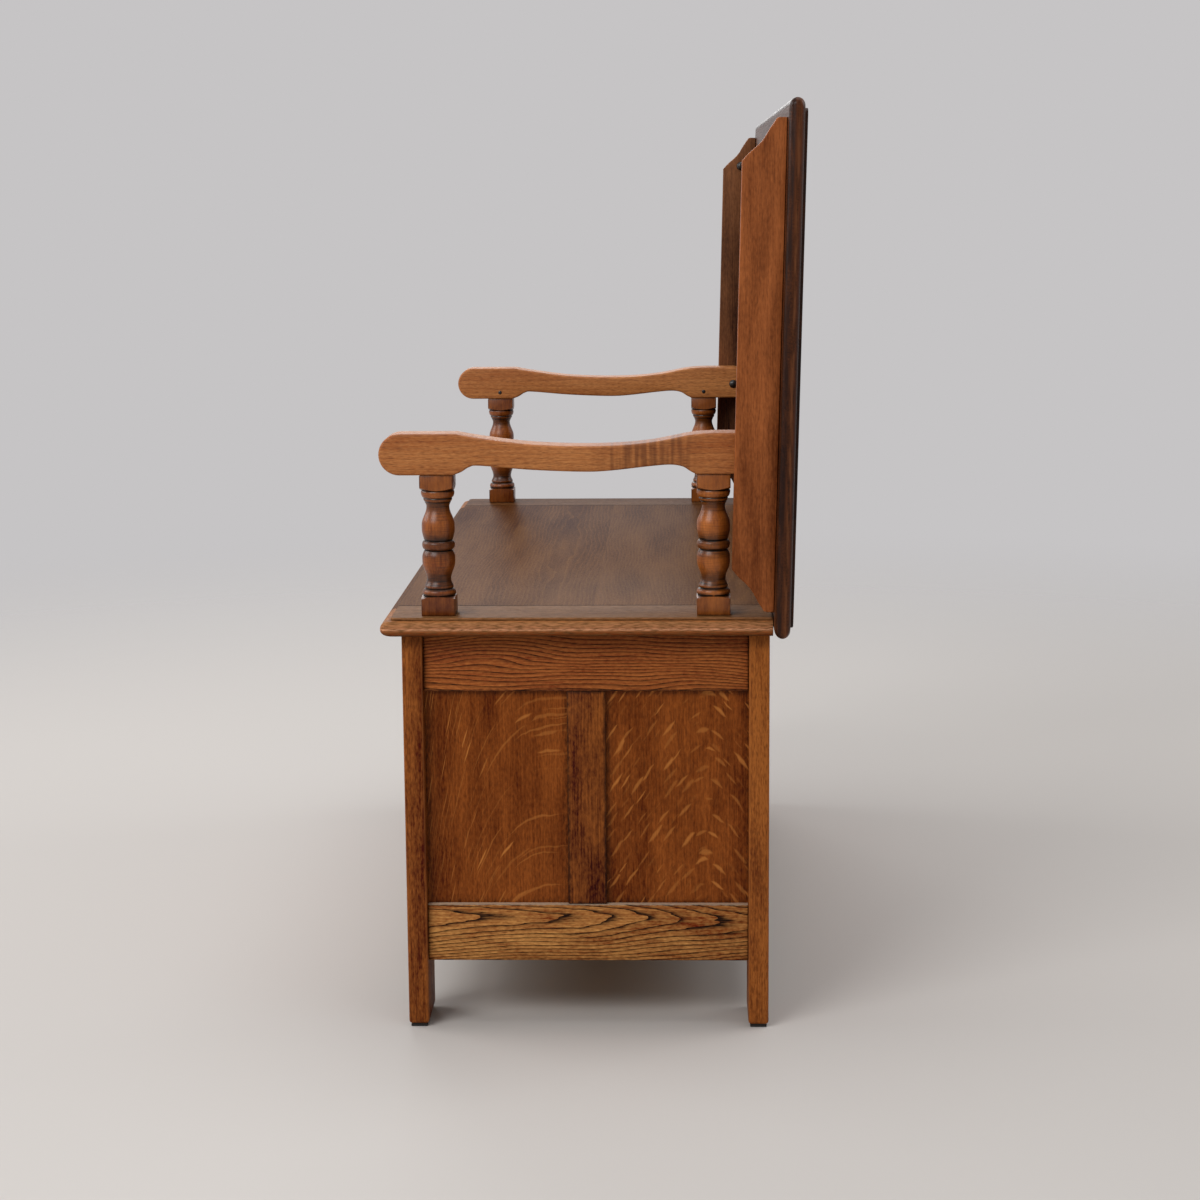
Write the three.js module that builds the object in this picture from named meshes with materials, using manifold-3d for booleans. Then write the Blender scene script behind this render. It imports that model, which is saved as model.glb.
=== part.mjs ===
// A settle bench whose back turns over to make a table. A panelled oak chest carries a seat with
// a lifting lid, four turned balusters and two shaped arms, and the table top swings on two pegs.
// Millimetres. X runs along the bench, Y from front to back, Z up from the floor.
import * as THREE from 'three';
import { mergeVertices } from 'three/addons/utils/BufferGeometryUtils.js';
import Module from 'manifold-3d';

const wasm = await Module();
wasm.setup();

// Fits: glued joints, pieces that turn or slide, and how far a cut runs past a face
const jointGap = 0.3;
const lidGap = 1;
const turningGap = 1;
const overrun = 5;

// Chest
const baseLength = 1012; // over the outer faces of the posts
const baseDepth = 396; // over their front and back faces
const postWidth = 72;
const postThickness = 22;
const glideHeight = 3.2;
const glideInset = 2;
const railWidth = 64;
const bottomRailHeight = 74; // from the floor to its underside
const muntinWidth = 42;
const panelThickness = 7;
const grooveDepth = 8;
const tenonShoulder = 12; // from a rail's edge to its tenon
const arris = 1.5; // eased corners of the posts
const longFrameThickness = 18; // the frames of the front and the back
const longFrameRecess = 3; // from the posts' faces
const longTenon = 24;
const endFrameThickness = 20;
const endFrameRecess = 8;
const endTenon = 14;
const cleatHeight = 18;
const cleatThickness = 16;
const cleatInset = 4; // from its underside up to the bottom rail's lower edge
const bottomThickness = 9;

// Seat
const seatHeight = 460;
const seatThickness = 19.5;
const seatOverhangFront = 21;
const seatOverhangEnd = 22;
const stripWidth = 91; // fixed strip at each end of the seat
const hingeSetback = 54; // from the seat's back edge to the lid's hinge line

// Thumbnail moulding of the seat and the table top
const fieldStep = 3; // how far the field stands above the rounded edge
const fieldInset = 10.5;
const fieldEase = 1;
const cornerRadius = 7;
const sharpestCorner = 0.6;
const noseSteps = 8;
const cornerSteps = 4;

// Butt hinges of the lid
const hingeSpacing = 520; // between the two hinges' middles
const hingeLength = 60;
const leafHeight = 17;
const leafThickness = 2;
const knuckleRadius = 3;
const hingePinRadius = 1.5;
const knuckleCount = 3;

// Balusters
const blockWidth = 36;
const balusterFront = 40.4; // from the base's front face to the front balusters' middles
const balusterBackInset = 60.2; // from its back face to the back ones
const balusterHeight = 152;
const tenonRadius = 9;
const lowerTenon = 15;
const upperTenon = 24;
const cornerCutRadius = 27; // clears the corners of the square blocks

// Arms
const armThickness = 39;
const armHeight = 44;
const armTipOverhang = 20.6; // in front of the base's front face
const armNoseLength = 22;
const armDip = 13.4;
const armArch = 10.4;
const armEase = 2.5;
const armPad = 3.6; // flat of an arm's top past the front baluster
const dowelRadius = 2.8;
const dowelLength = 26;
const dowelHeight = 9; // above the arm's underside

// Table top, measured from its pivot
const pivotInset = 17.5; // from the base's back face
const pivotBelowArmTop = 24;
const tableLean = 1.35; // degrees, backwards
const tableOverhangEnd = 49; // past the base's end
const tableThickness = 19.8;
const tableDepth = 560;
const tableFootRise = 2.5; // above the seat's underside

// Bearers under the table top
const bearerThickness = 16;
const bearerWidth = 46;
const bearerTopInset = 19.5; // from the table's upper edge
const bearerFootGap = 7.5; // above the seat
const bearerOgeeLength = 45;
const bearerOgeeDepth = 38;
const bearerEase = 1.5;

// Knob-headed pegs
const pegRadius = 4.5;
const knobRadius = 6;
const knobHeight = 3.4;
const pegDepth = 12; // in a bearer
const knobClearance = 0.6; // between an upper peg's knob and the arm, when the table is down
const upperPegInset = 40.5; // from the bearer's upper end
const upperPegBack = 4; // nearer to the table top than the pivot
const pegPointEase = 0.8;

// Facets of round pieces
const turnedSides = 16;
const pegSides = 16;
const pinSides = 12;
const knobSteps = 3;
const dipSteps = 12;
const archSteps = 16;
const ogeeSteps = 8;
const roundEndSteps = 6; // of the arms' noses and rear ends

// Baluster outline from foot to top: share of its height, share of its block's width
const balusterShares = [
  [0.131, 0.75], [0.138, 0.497], [0.158, 0.497], [0.176, 0.475], [0.19, 0.445], [0.205, 0.43],
  [0.218, 0.39], [0.235, 0.366], [0.26, 0.362], [0.276, 0.378], [0.304, 0.42], [0.333, 0.475],
  [0.36, 0.495], [0.4, 0.497], [0.432, 0.485], [0.447, 0.464], [0.459, 0.415], [0.47, 0.455],
  [0.482, 0.482], [0.503, 0.497], [0.52, 0.48], [0.529, 0.42], [0.547, 0.453], [0.575, 0.49],
  [0.61, 0.497], [0.645, 0.495], [0.675, 0.473], [0.703, 0.425], [0.732, 0.372], [0.76, 0.345],
  [0.778, 0.345], [0.783, 0.365], [0.8, 0.375], [0.832, 0.475], [0.847, 0.495], [0.872, 0.497],
  [0.881, 0.46], [0.889, 0.48], [0.893, 0.75],
];
// Arm's top edge: share of the dip's span, share of its depth
const armDipShares = [
  [0.09, 0.33], [0.27, 0.81], [0.46, 1], [0.63, 0.95], [0.77, 0.68], [0.91, 0.14], [1, 0],
];
// Arm's lower edge from back to front: share of the arch's span, share of its height
const armArchShares = [
  [0.974, 0.33], [0.943, 0.8], [0.893, 1], [0.808, 0.85], [0.646, 0.41], [0.53, 0.31],
  [0.318, 0.53], [0.114, 0.96], [0.07, 0.84], [0.035, 0.33], [0, 0],
];
// Bearer's shaped end, from its free edge to its tip: share of the length, share of the depth
const ogeeShares = [
  [0.18, 0.19], [0.38, 0.45], [0.54, 0.6], [0.72, 0.72], [0.9, 0.86], [0.98, 0.93], [1, 1],
];

// Levels and places that follow
const baseHalf = baseLength / 2;
const seatUnderside = seatHeight - seatThickness;
const frameTop = seatUnderside - jointGap;
const postFoot = glideHeight + jointGap;
const bottomRailTop = bottomRailHeight + railWidth;
const topRailFoot = frameTop - railWidth;
const tongue = grooveDepth - jointGap; // of a panel or a muntin in its groove
const armUnderside = seatHeight + balusterHeight;
const armTop = armUnderside + armHeight;
const pivotHeight = armTop - pivotBelowArmTop;
const tableLength = baseLength + 2 * tableOverhangEnd;
const tableFace = pivotBelowArmTop + turningGap; // from the pivot to the table's underside
const lean = THREE.MathUtils.degToRad(tableLean);
const longFrame = { thickness: longFrameThickness, recess: longFrameRecess, tenon: longTenon };
const endFrame = { thickness: endFrameThickness, recess: endFrameRecess, tenon: endTenon };
const balusterBack = baseDepth - balusterBackInset;
const pivotBack = baseDepth - pivotInset;
const armMiddle = baseHalf - blockWidth / 2; // the balusters stand flush with the base's ends
const bearerGap = knobHeight + jointGap + knobClearance; // between an arm and its bearer
const bearerMiddle = armMiddle + armThickness / 2 + bearerGap + bearerThickness / 2;
const seatHalf = baseHalf + seatOverhangEnd;
const seatFront = -seatOverhangFront;
// The table leans on the seat's back edge, at the height of the seat's underside
const seatBack = pivotBack + tableFace / Math.cos(lean)
  - (pivotHeight - seatUnderside) * Math.tan(lean) - jointGap;
const tableBelowPivot = (pivotHeight - seatUnderside) / Math.cos(lean) - tableFootRise;
const tableAbovePivot = tableDepth - tableBelowPivot;
const bearerAbovePivot = tableAbovePivot - bearerTopInset;
const bearerBelowPivot = pivotHeight - seatHeight - bearerFootGap;
const upperPegAbovePivot = bearerAbovePivot - upperPegInset;
const hingeLine = seatBack - hingeSetback;
const hingeHeight = seatHeight + knuckleRadius + jointGap;
const lidHalf = seatHalf - stripWidth;

// Materials
function finish(color, roughness, metalness = 0) {
  return new THREE.MeshStandardMaterial({ color, roughness, metalness });
}
const frameOak = finish('#8a5128', 0.42);
const railOak = finish('#94602f', 0.42);
const panelOak = finish('#8f5a2b', 0.4);
const seatOak = finish('#7c5a42', 0.38);
const armOak = finish('#a06a3c', 0.4);
const turnedOak = finish('#6b4222', 0.34);
const tableOak = finish('#4a2a1a', 0.36);
const bearerOak = finish('#874f2a', 0.42);
const insideOak = finish('#a98357', 0.7);
const blackened = finish('#17120f', 0.3);
const brass = finish('#a98a4c', 0.4, 1);

// Shapes are cut and joined as solids
function toSolid(geometry) {
  const bare = geometry.clone();
  bare.deleteAttribute('normal');
  bare.deleteAttribute('uv');
  const merged = mergeVertices(bare);
  const vertProperties = merged.attributes.position.array;
  const triVerts = Uint32Array.from(merged.index.array);
  return new wasm.Manifold(new wasm.Mesh({ numProp: 3, vertProperties, triVerts }));
}

function toGeometry(solid) {
  const mesh = solid.getMesh();
  const geometry = new THREE.BufferGeometry();
  geometry.setAttribute('position', new THREE.BufferAttribute(mesh.vertProperties, mesh.numProp));
  geometry.setIndex(new THREE.BufferAttribute(mesh.triVerts, 1));
  geometry.computeVertexNormals();
  return geometry;
}

function carve(geometry, cuts) {
  return toGeometry(cuts.reduce((solid, cut) => solid.subtract(toSolid(cut)), toSolid(geometry)));
}

function join(...geometries) {
  return toGeometry(geometries.map(toSolid).reduce((whole, piece) => whole.add(piece)));
}

function common(geometry, limit) {
  return toGeometry(toSolid(geometry).intersect(toSolid(limit)));
}

// A block between two places on each axis, given in either order
function block(...spans) {
  const low = spans.map((span) => Math.min(...span));
  const high = spans.map((span) => Math.max(...span));
  return new THREE.BoxGeometry(...high.map((value, axis) => value - low[axis]))
    .translate(...high.map((value, axis) => (value + low[axis]) / 2));
}

function around(middle, width) {
  return [middle - width / 2, middle + width / 2];
}

// A round bar along X, from one place to another
function barAlongX([from, to], radius, sides, y = 0, z = 0) {
  return new THREE.CylinderGeometry(radius, radius, Math.abs(to - from), sides)
    .rotateZ(Math.PI / 2).translate((from + to) / 2, y, z);
}

function barUpright([from, to], radius, sides, x = 0, y = 0) {
  return new THREE.CylinderGeometry(radius, radius, to - from, sides)
    .rotateX(Math.PI / 2).translate(x, y, (from + to) / 2);
}

// The outline goes on through these points in a smooth curve, drawn in this many steps
function curveThrough(outline, points, steps) {
  new THREE.SplineCurve([outline.currentPoint.clone(), ...points]).getPoints(steps).slice(1)
    .forEach((point) => outline.lineTo(point.x, point.y));
}

// An outline drawn in Y and Z becomes a board of this thickness, with eased edges
function shapedBoard(outline, thickness, ease) {
  return new THREE.ExtrudeGeometry(outline, {
    depth: thickness - 2 * ease,
    bevelThickness: ease,
    bevelSize: ease,
    bevelOffset: -ease,
    bevelSegments: 1,
    curveSegments: roundEndSteps,
  })
    .translate(0, 0, ease - thickness / 2)
    .applyMatrix4(new THREE.Matrix4().makeBasis(
      new THREE.Vector3(0, 1, 0), new THREE.Vector3(0, 0, 1), new THREE.Vector3(1, 0, 0),
    ));
}

function place(parent, name, geometry, material, x = 0, y = 0, z = 0) {
  const mesh = new THREE.Mesh(geometry, material);
  mesh.name = name;
  mesh.position.set(x, y, z);
  parent.add(mesh);
  return mesh;
}

// Chest frames. In its own axes a frame's X runs along it, its outer face is at Y = 0 and the
// inside of the chest is at +Y. Panels and stub tenons sit in grooves in the middle of its depth.
const tenonHeights = [bottomRailHeight, topRailFoot].map(
  (foot) => [foot + tenonShoulder, foot + railWidth - tenonShoulder],
);

function groove(along, middle, heights) {
  return block(along, around(middle, panelThickness + 2 * jointGap), heights);
}

function rail(frame, opening, index) {
  const middle = frame.thickness / 2;
  const foot = [bottomRailHeight, topRailFoot][index];
  const edge = [bottomRailTop, topRailFoot][index];
  const body = block(around(0, opening - 2 * jointGap), [0, frame.thickness], [foot, foot + railWidth]);
  const tenon = block(
    around(0, opening + 2 * frame.tenon), around(middle, panelThickness), tenonHeights[index],
  );
  return carve(join(body, tenon), [
    groove(around(0, opening + 2 * overrun), middle, around(edge, 2 * grooveDepth)),
  ]);
}

function muntin(frame) {
  const middle = frame.thickness / 2;
  const heights = [bottomRailTop + jointGap, topRailFoot - jointGap];
  const body = block(around(0, muntinWidth), [0, frame.thickness], heights);
  const tenon = block(
    around(0, muntinWidth - 2 * grooveDepth), around(middle, panelThickness),
    [bottomRailTop - tongue, topRailFoot + tongue],
  );
  const grooves = [-1, 1].map((side) => groove(
    around(side * muntinWidth / 2, 2 * grooveDepth), middle,
    [bottomRailTop - overrun, topRailFoot + overrun],
  ));
  return join(carve(body, grooves), tenon);
}

function panelledFrame(frame, opening, names) {
  const group = new THREE.Group();
  const count = names.panels.length;
  const clearWidth = (opening - (count - 1) * muntinWidth) / count;
  const pitch = clearWidth + muntinWidth;
  names.rails.forEach((name, index) => place(group, name, rail(frame, opening, index), railOak));
  names.muntins.forEach((name, index) => place(
    group, name, muntin(frame), frameOak, (index + 1) * pitch - (opening + muntinWidth) / 2,
  ));
  names.panels.forEach((name, index) => place(
    group, name,
    block(
      around(0, clearWidth + 2 * tongue), around(frame.thickness / 2, panelThickness),
      [bottomRailTop - tongue, topRailFoot + tongue],
    ),
    panelOak, index * pitch - (opening - clearWidth) / 2,
  ));
  return group;
}

// A post's cuts for one frame: a groove for its panel and a deeper mortise for each rail
function postCuts(frame, cut) {
  const grooveHeights = [tenonHeights[0][0], tenonHeights[1][1]];
  return [
    cut(grooveDepth, grooveHeights),
    ...tenonHeights.map(([low, high]) => cut(frame.tenon + jointGap, [low - jointGap, high + jointGap])),
  ];
}

function post(sideX, sideY) {
  const halfWidth = postWidth / 2;
  const halfThickness = postThickness / 2;
  const section = new THREE.Shape([
    [halfWidth - arris, -halfThickness], [halfWidth, arris - halfThickness],
    [halfWidth, halfThickness - arris], [halfWidth - arris, halfThickness],
    [arris - halfWidth, halfThickness], [-halfWidth, halfThickness - arris],
    [-halfWidth, arris - halfThickness], [arris - halfWidth, -halfThickness],
  ].map(([x, y]) => new THREE.Vector2(x, y)));
  const body = new THREE.ExtrudeGeometry(section, { depth: frameTop - postFoot, bevelEnabled: false })
    .translate(0, 0, postFoot);
  const longMiddle = sideY * (halfThickness - longFrame.recess - longFrame.thickness / 2);
  const endMiddle = sideX * (halfWidth - endFrame.recess - endFrame.thickness / 2);
  const width = panelThickness + 2 * jointGap;
  return carve(body, [
    ...postCuts(longFrame, (depth, heights) => block(
      [-sideX * (halfWidth + overrun), -sideX * (halfWidth - depth)], around(longMiddle, width), heights,
    )),
    ...postCuts(endFrame, (depth, heights) => block(
      around(endMiddle, width), [-sideY * (halfThickness + overrun), -sideY * (halfThickness - depth)],
      heights,
    )),
  ]);
}

// A board with the thumbnail moulding on every edge: a stack of rounded rectangles, one for each
// point of the edge, from the underside out round the nose and up over the step to the field
function thumbnailEdge(thickness) {
  const nose = (thickness - fieldStep) / 2;
  const edge = Array.from({ length: noseSteps + 1 }, (_, step) => {
    const turn = Math.PI * (step / noseSteps - 1 / 2);
    return [nose - nose * Math.cos(turn), nose + nose * Math.sin(turn)];
  });
  return [
    ...edge, [fieldInset, 2 * nose], [fieldInset, thickness - fieldEase],
    [fieldInset + fieldEase, thickness],
  ];
}

function roundedRectangle(halfLength, halfDepth, radius, height) {
  const corners = [[1, 1], [-1, 1], [-1, -1], [1, -1]];
  return corners.flatMap(([sideX, sideY], quarter) => (
    Array.from({ length: cornerSteps + 1 }, (_, step) => {
      const turn = (quarter + step / cornerSteps) * Math.PI / 2;
      return [
        sideX * (halfLength - radius) + radius * Math.cos(turn),
        sideY * (halfDepth - radius) + radius * Math.sin(turn),
        height,
      ];
    })
  ));
}

function mouldedBoard(length, depth, thickness) {
  const rings = thumbnailEdge(thickness).map(([inset, height]) => roundedRectangle(
    length / 2 - inset, depth / 2 - inset, Math.max(cornerRadius - inset, sharpestCorner), height,
  ));
  const count = rings[0].length;
  const faces = [];
  for (let ring = 0; ring + 1 < rings.length; ring += 1) {
    for (let point = 0; point < count; point += 1) {
      const next = (point + 1) % count;
      const [a, b] = [ring * count + point, ring * count + next];
      faces.push(a, b, b + count, a, b + count, a + count);
    }
  }
  const top = (rings.length - 1) * count;
  for (let point = 1; point + 1 < count; point += 1) {
    faces.push(0, point + 1, point, top, top + point, top + point + 1);
  }
  const geometry = new THREE.BufferGeometry();
  geometry.setAttribute('position', new THREE.Float32BufferAttribute(rings.flat(2), 3));
  geometry.setIndex(faces);
  return geometry;
}

// One half of a butt hinge. In its own axes the pin is on X, and the leaf hangs down on the side
// given; the fixed half has the outer knuckles and the lid's half the middle one.
const knuckleLength = hingeLength / knuckleCount;
const leafInset = lidGap / 2;

function hingeLeaf(side, knuckles) {
  const leafDepth = [side * leafInset, side * (leafInset + leafThickness)];
  const leafTop = -knuckleRadius - 2 * jointGap;
  const plate = block(around(0, hingeLength), leafDepth, [leafTop, leafTop - leafHeight]);
  const parts = knuckles.flatMap((knuckle) => {
    const span = around((knuckle - (knuckleCount - 1) / 2) * knuckleLength, knuckleLength - jointGap);
    return [barAlongX(span, knuckleRadius, pinSides), block(span, leafDepth, [leafTop - leafThickness, 0])];
  });
  return carve(join(plate, ...parts), [
    barAlongX(around(0, hingeLength + overrun), hingePinRadius + jointGap, pinSides),
  ]);
}

// The recess that a leaf is let into, in a seat board's edge
function leafRecess(side, middle) {
  return block(
    around(middle, hingeLength + 2 * jointGap),
    [hingeLine, hingeLine + side * (leafInset + leafThickness + jointGap)],
    [seatHeight + overrun, hingeHeight - knuckleRadius - leafHeight - 3 * jointGap],
  );
}

// Square blocks that run into a turned stem: the turning cuts the corners of a square bar
function baluster() {
  const outline = [
    [0, 0], [cornerCutRadius, 0],
    ...balusterShares.map(([height, width]) => [width * blockWidth, height * balusterHeight]),
    [cornerCutRadius, balusterHeight - jointGap], [0, balusterHeight - jointGap],
  ].map(([radius, height]) => new THREE.Vector2(radius, height));
  const turned = new THREE.LatheGeometry(outline, turnedSides).rotateX(Math.PI / 2);
  const square = block(
    around(0, blockWidth), around(0, blockWidth), [jointGap, balusterHeight - jointGap],
  );
  const stem = join(
    common(turned, square),
    barUpright([-lowerTenon, balusterHeight / 2], tenonRadius, turnedSides),
    barUpright([balusterHeight / 2, balusterHeight + upperTenon], tenonRadius, turnedSides),
  );
  const dowelHole = barAlongX(
    [armThickness / 2 - dowelLength - jointGap, tenonRadius + overrun],
    dowelRadius + jointGap, pinSides, 0, balusterHeight + dowelHeight,
  );
  return carve(stem, [dowelHole]);
}

function armOutline() {
  const nose = armNoseLength - armTipOverhang;
  const middle = (armUnderside + armTop) / 2;
  const archStart = balusterFront + blockWidth / 2;
  const archLength = balusterBack - blockWidth / 2 - archStart;
  const dipStart = archStart + armPad;
  const dipLength = balusterBack - dipStart;
  const outline = new THREE.Shape();
  outline.moveTo(nose, armTop);
  outline.lineTo(dipStart, armTop);
  curveThrough(outline, armDipShares.map(([along, down]) => (
    new THREE.Vector2(dipStart + along * dipLength, armTop - down * armDip)
  )), dipSteps);
  outline.lineTo(pivotBack, armTop);
  const lowest = Math.asin((armUnderside - pivotHeight) / pivotBelowArmTop);
  outline.absarc(pivotBack, pivotHeight, pivotBelowArmTop, Math.PI / 2, lowest, true);
  outline.lineTo(archStart + archLength, armUnderside);
  curveThrough(outline, armArchShares.map(([along, up]) => (
    new THREE.Vector2(archStart + along * archLength, armUnderside + up * armArch)
  )), archSteps);
  outline.lineTo(nose, armUnderside);
  outline.absellipse(
    nose, middle, armNoseLength, armHeight / 2, -Math.PI / 2, -3 * Math.PI / 2, true,
  );
  return outline;
}

// side is 1 at the right end of the bench and -1 at the left
function arm(side) {
  const innerFace = -side * armThickness / 2;
  const holes = [balusterFront, balusterBack].flatMap((y) => [
    barUpright(
      [armUnderside - overrun, armUnderside + upperTenon + jointGap],
      tenonRadius + jointGap, turnedSides, 0, y,
    ),
    barAlongX(
      [innerFace - side * overrun, innerFace + side * (dowelLength + jointGap)],
      dowelRadius + jointGap, pinSides, y, armUnderside + dowelHeight,
    ),
  ]);
  const pegHole = barAlongX(
    around(0, armThickness + overrun), pegRadius + jointGap, pegSides, pivotBack, pivotHeight,
  );
  return carve(shapedBoard(armOutline(), armThickness, armEase), [...holes, pegHole]);
}

// The table's own axes: the pivot is the origin, Z runs up the board and Y through its thickness
function bearerOutline() {
  const back = tableFace - jointGap;
  const free = tableFace - bearerWidth;
  const tip = free + bearerOgeeDepth;
  const outline = new THREE.Shape();
  outline.moveTo(back, bearerAbovePivot);
  outline.lineTo(back, -bearerBelowPivot);
  outline.lineTo(tip, -bearerBelowPivot);
  curveThrough(outline, [
    ...ogeeShares.slice(0, -1).reverse().map(([along, deep]) => new THREE.Vector2(
      free + deep * bearerOgeeDepth, (1 - along) * bearerOgeeLength - bearerBelowPivot,
    )),
    new THREE.Vector2(free, bearerOgeeLength - bearerBelowPivot),
  ], ogeeSteps);
  outline.lineTo(free, bearerAbovePivot - bearerOgeeLength);
  curveThrough(outline, ogeeShares.map(([along, deep]) => new THREE.Vector2(
    free + deep * bearerOgeeDepth, bearerAbovePivot - (1 - along) * bearerOgeeLength,
  )), ogeeSteps);
  return outline;
}

function bearer(side) {
  const innerFace = -side * bearerThickness / 2;
  const span = [innerFace - side * overrun, innerFace + side * (pegDepth + jointGap)];
  const holes = [[0, 0], [upperPegBack, upperPegAbovePivot]].map(
    ([y, z]) => barAlongX(span, pegRadius + jointGap, pegSides, y, z),
  );
  return carve(shapedBoard(bearerOutline(), bearerThickness, bearerEase), holes);
}

// A peg with a domed knob, pointing outwards along X from the face that its knob rests on
function peg(side, length) {
  const dome = Array.from({ length: knobSteps + 1 }, (_, step) => {
    const turn = step / knobSteps * Math.PI / 2;
    return [knobRadius * Math.sin(turn), -jointGap - knobHeight * Math.cos(turn)];
  });
  const outline = [
    ...dome, [pegRadius, -jointGap], [pegRadius, length - pegPointEase],
    [pegRadius - pegPointEase, length], [0, length],
  ].map(([radius, along]) => new THREE.Vector2(radius, along));
  return new THREE.LatheGeometry(outline, pegSides).rotateZ(-side * Math.PI / 2);
}

// Assembly
const bench = new THREE.Group();
const ends = [['left', -1], ['right', 1]];
const rows = [['front', -1], ['back', 1]];

// Posts on their glides
ends.forEach(([end, sideX]) => rows.forEach(([row, sideY]) => {
  const x = sideX * (baseHalf - postWidth / 2);
  const y = baseDepth / 2 + sideY * (baseDepth - postThickness) / 2;
  place(bench, `post_${row}_${end}`, post(sideX, sideY), frameOak, x, y);
  place(
    bench, `glide_${row}_${end}`,
    block(
      around(0, postWidth - 2 * glideInset), around(0, postThickness - 2 * glideInset),
      [0, glideHeight],
    ),
    blackened, x, y,
  );
}));

// Panelled frames between the posts
const longOpening = baseLength - 2 * postWidth;
const endOpening = baseDepth - 2 * postThickness;
const front = panelledFrame(longFrame, longOpening, {
  rails: ['front_rail_bottom', 'front_rail_top'],
  muntins: ['front_muntin_left', 'front_muntin_right'],
  panels: ['front_panel_left', 'front_panel_middle', 'front_panel_right'],
});
front.position.y = longFrame.recess;
const back = panelledFrame(longFrame, longOpening, {
  rails: ['back_rail_bottom', 'back_rail_top'],
  muntins: ['back_muntin'],
  panels: ['back_panel_right', 'back_panel_left'],
});
back.position.y = baseDepth - longFrame.recess;
back.rotation.z = Math.PI;
bench.add(front, back);
ends.forEach(([end, side]) => {
  const panels = [`end_panel_front_${end}`, `end_panel_back_${end}`];
  const frame = panelledFrame(endFrame, endOpening, {
    rails: [`end_rail_bottom_${end}`, `end_rail_top_${end}`],
    muntins: [`end_muntin_${end}`],
    panels: side > 0 ? panels : panels.reverse(),
  });
  frame.position.set(side * (baseHalf - endFrame.recess), baseDepth / 2, 0);
  frame.rotation.z = side * Math.PI / 2;
  bench.add(frame);
});

// Floor of the chest on its two cleats
const cleatFoot = bottomRailHeight + cleatInset;
const insideFront = longFrame.recess + longFrame.thickness;
const insideEnd = baseHalf - endFrame.recess - endFrame.thickness;
rows.forEach(([row, side]) => {
  place(
    bench, `cleat_${row}`,
    block(around(0, longOpening), around(0, cleatThickness), [0, cleatHeight]), insideOak,
    0, baseDepth / 2 + side * (baseDepth / 2 - insideFront - jointGap - cleatThickness / 2), cleatFoot,
  );
});
place(
  bench, 'bottom_board',
  block(
    around(0, 2 * (insideEnd - jointGap)), around(0, endOpening - 2 * jointGap),
    [0, bottomThickness],
  ),
  insideOak, 0, baseDepth / 2, cleatFoot + cleatHeight + jointGap,
);

// Seat: one moulded board cut into two end strips, a back strip and the lid
const blankDepth = seatBack - seatFront + 2 * fieldInset + overrun;
const seatBlank = mouldedBoard(2 * seatHalf, blankDepth, seatThickness)
  .translate(0, seatFront + blankDepth / 2, seatUnderside);
const seatLevels = [seatUnderside - overrun, seatHeight + overrun];
const frontward = seatFront - overrun;
const hinges = ends.map(([end, side]) => [end, side * hingeSpacing / 2]);
ends.forEach(([end, side]) => {
  const strip = common(seatBlank, block(
    [side * (lidHalf + lidGap / 2), side * (seatHalf + overrun)], [frontward, seatBack], seatLevels,
  ));
  const holes = [balusterFront, balusterBack].map((y) => barUpright(
    [seatHeight - lowerTenon - jointGap, seatHeight + overrun],
    tenonRadius + jointGap, turnedSides, side * armMiddle, y,
  ));
  place(bench, `seat_strip_${end}`, carve(strip, holes), seatOak);
});
place(
  bench, 'seat_strip_back',
  carve(
    common(seatBlank, block(
      around(0, 2 * (lidHalf + lidGap / 2 - jointGap)), [hingeLine + lidGap / 2, seatBack], seatLevels,
    )),
    hinges.map(([, x]) => leafRecess(1, x)),
  ),
  seatOak,
);
place(
  bench, 'lid',
  carve(
    common(seatBlank, block(
      around(0, 2 * lidHalf - lidGap), [frontward, hingeLine - lidGap / 2], seatLevels,
    )),
    hinges.map(([, x]) => leafRecess(-1, x)),
  ),
  seatOak,
);
hinges.forEach(([end, x]) => {
  place(bench, `hinge_leaf_fixed_${end}`, hingeLeaf(1, [0, 2]), brass, x, hingeLine, hingeHeight);
  place(bench, `hinge_leaf_lid_${end}`, hingeLeaf(-1, [1]), brass, x, hingeLine, hingeHeight);
  place(
    bench, `hinge_pin_${end}`, barAlongX(around(0, hingeLength), hingePinRadius, pinSides), brass,
    x, hingeLine, hingeHeight,
  );
});

// Balusters, arms, dowels and pivot pegs
ends.forEach(([end, side]) => {
  const armInnerFace = side * (armMiddle - armThickness / 2);
  rows.forEach(([row], index) => {
    const y = [balusterFront, balusterBack][index];
    const turned = place(
      bench, `baluster_${row}_${end}`, baluster(), turnedOak, side * armMiddle, y, seatHeight,
    );
    turned.rotation.z = side > 0 ? Math.PI : 0;
    place(
      bench, `dowel_${row}_${end}`,
      barAlongX([0, side * dowelLength], dowelRadius, pinSides), blackened,
      armInnerFace, y, armUnderside + dowelHeight,
    );
  });
  place(bench, `arm_${end}`, arm(side), armOak, side * armMiddle);
  place(
    bench, `pivot_peg_${end}`, peg(side, armThickness + bearerGap + pegDepth), blackened,
    armInnerFace, pivotBack, pivotHeight,
  );
});

// Table top, standing up as the back rest and leaning on the seat's back edge
const table = new THREE.Group();
table.position.set(0, pivotBack, pivotHeight);
table.rotation.x = -lean;
bench.add(table);
place(
  table, 'table_top',
  mouldedBoard(tableLength, tableAbovePivot + tableBelowPivot, tableThickness).rotateX(-Math.PI / 2),
  tableOak, 0, tableFace, (tableAbovePivot - tableBelowPivot) / 2,
);
ends.forEach(([end, side]) => {
  place(table, `bearer_${end}`, bearer(side), bearerOak, side * bearerMiddle);
  place(
    table, `upper_peg_${end}`, peg(side, pegDepth), blackened,
    side * (bearerMiddle - bearerThickness / 2), upperPegBack, upperPegAbovePivot,
  );
});

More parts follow.
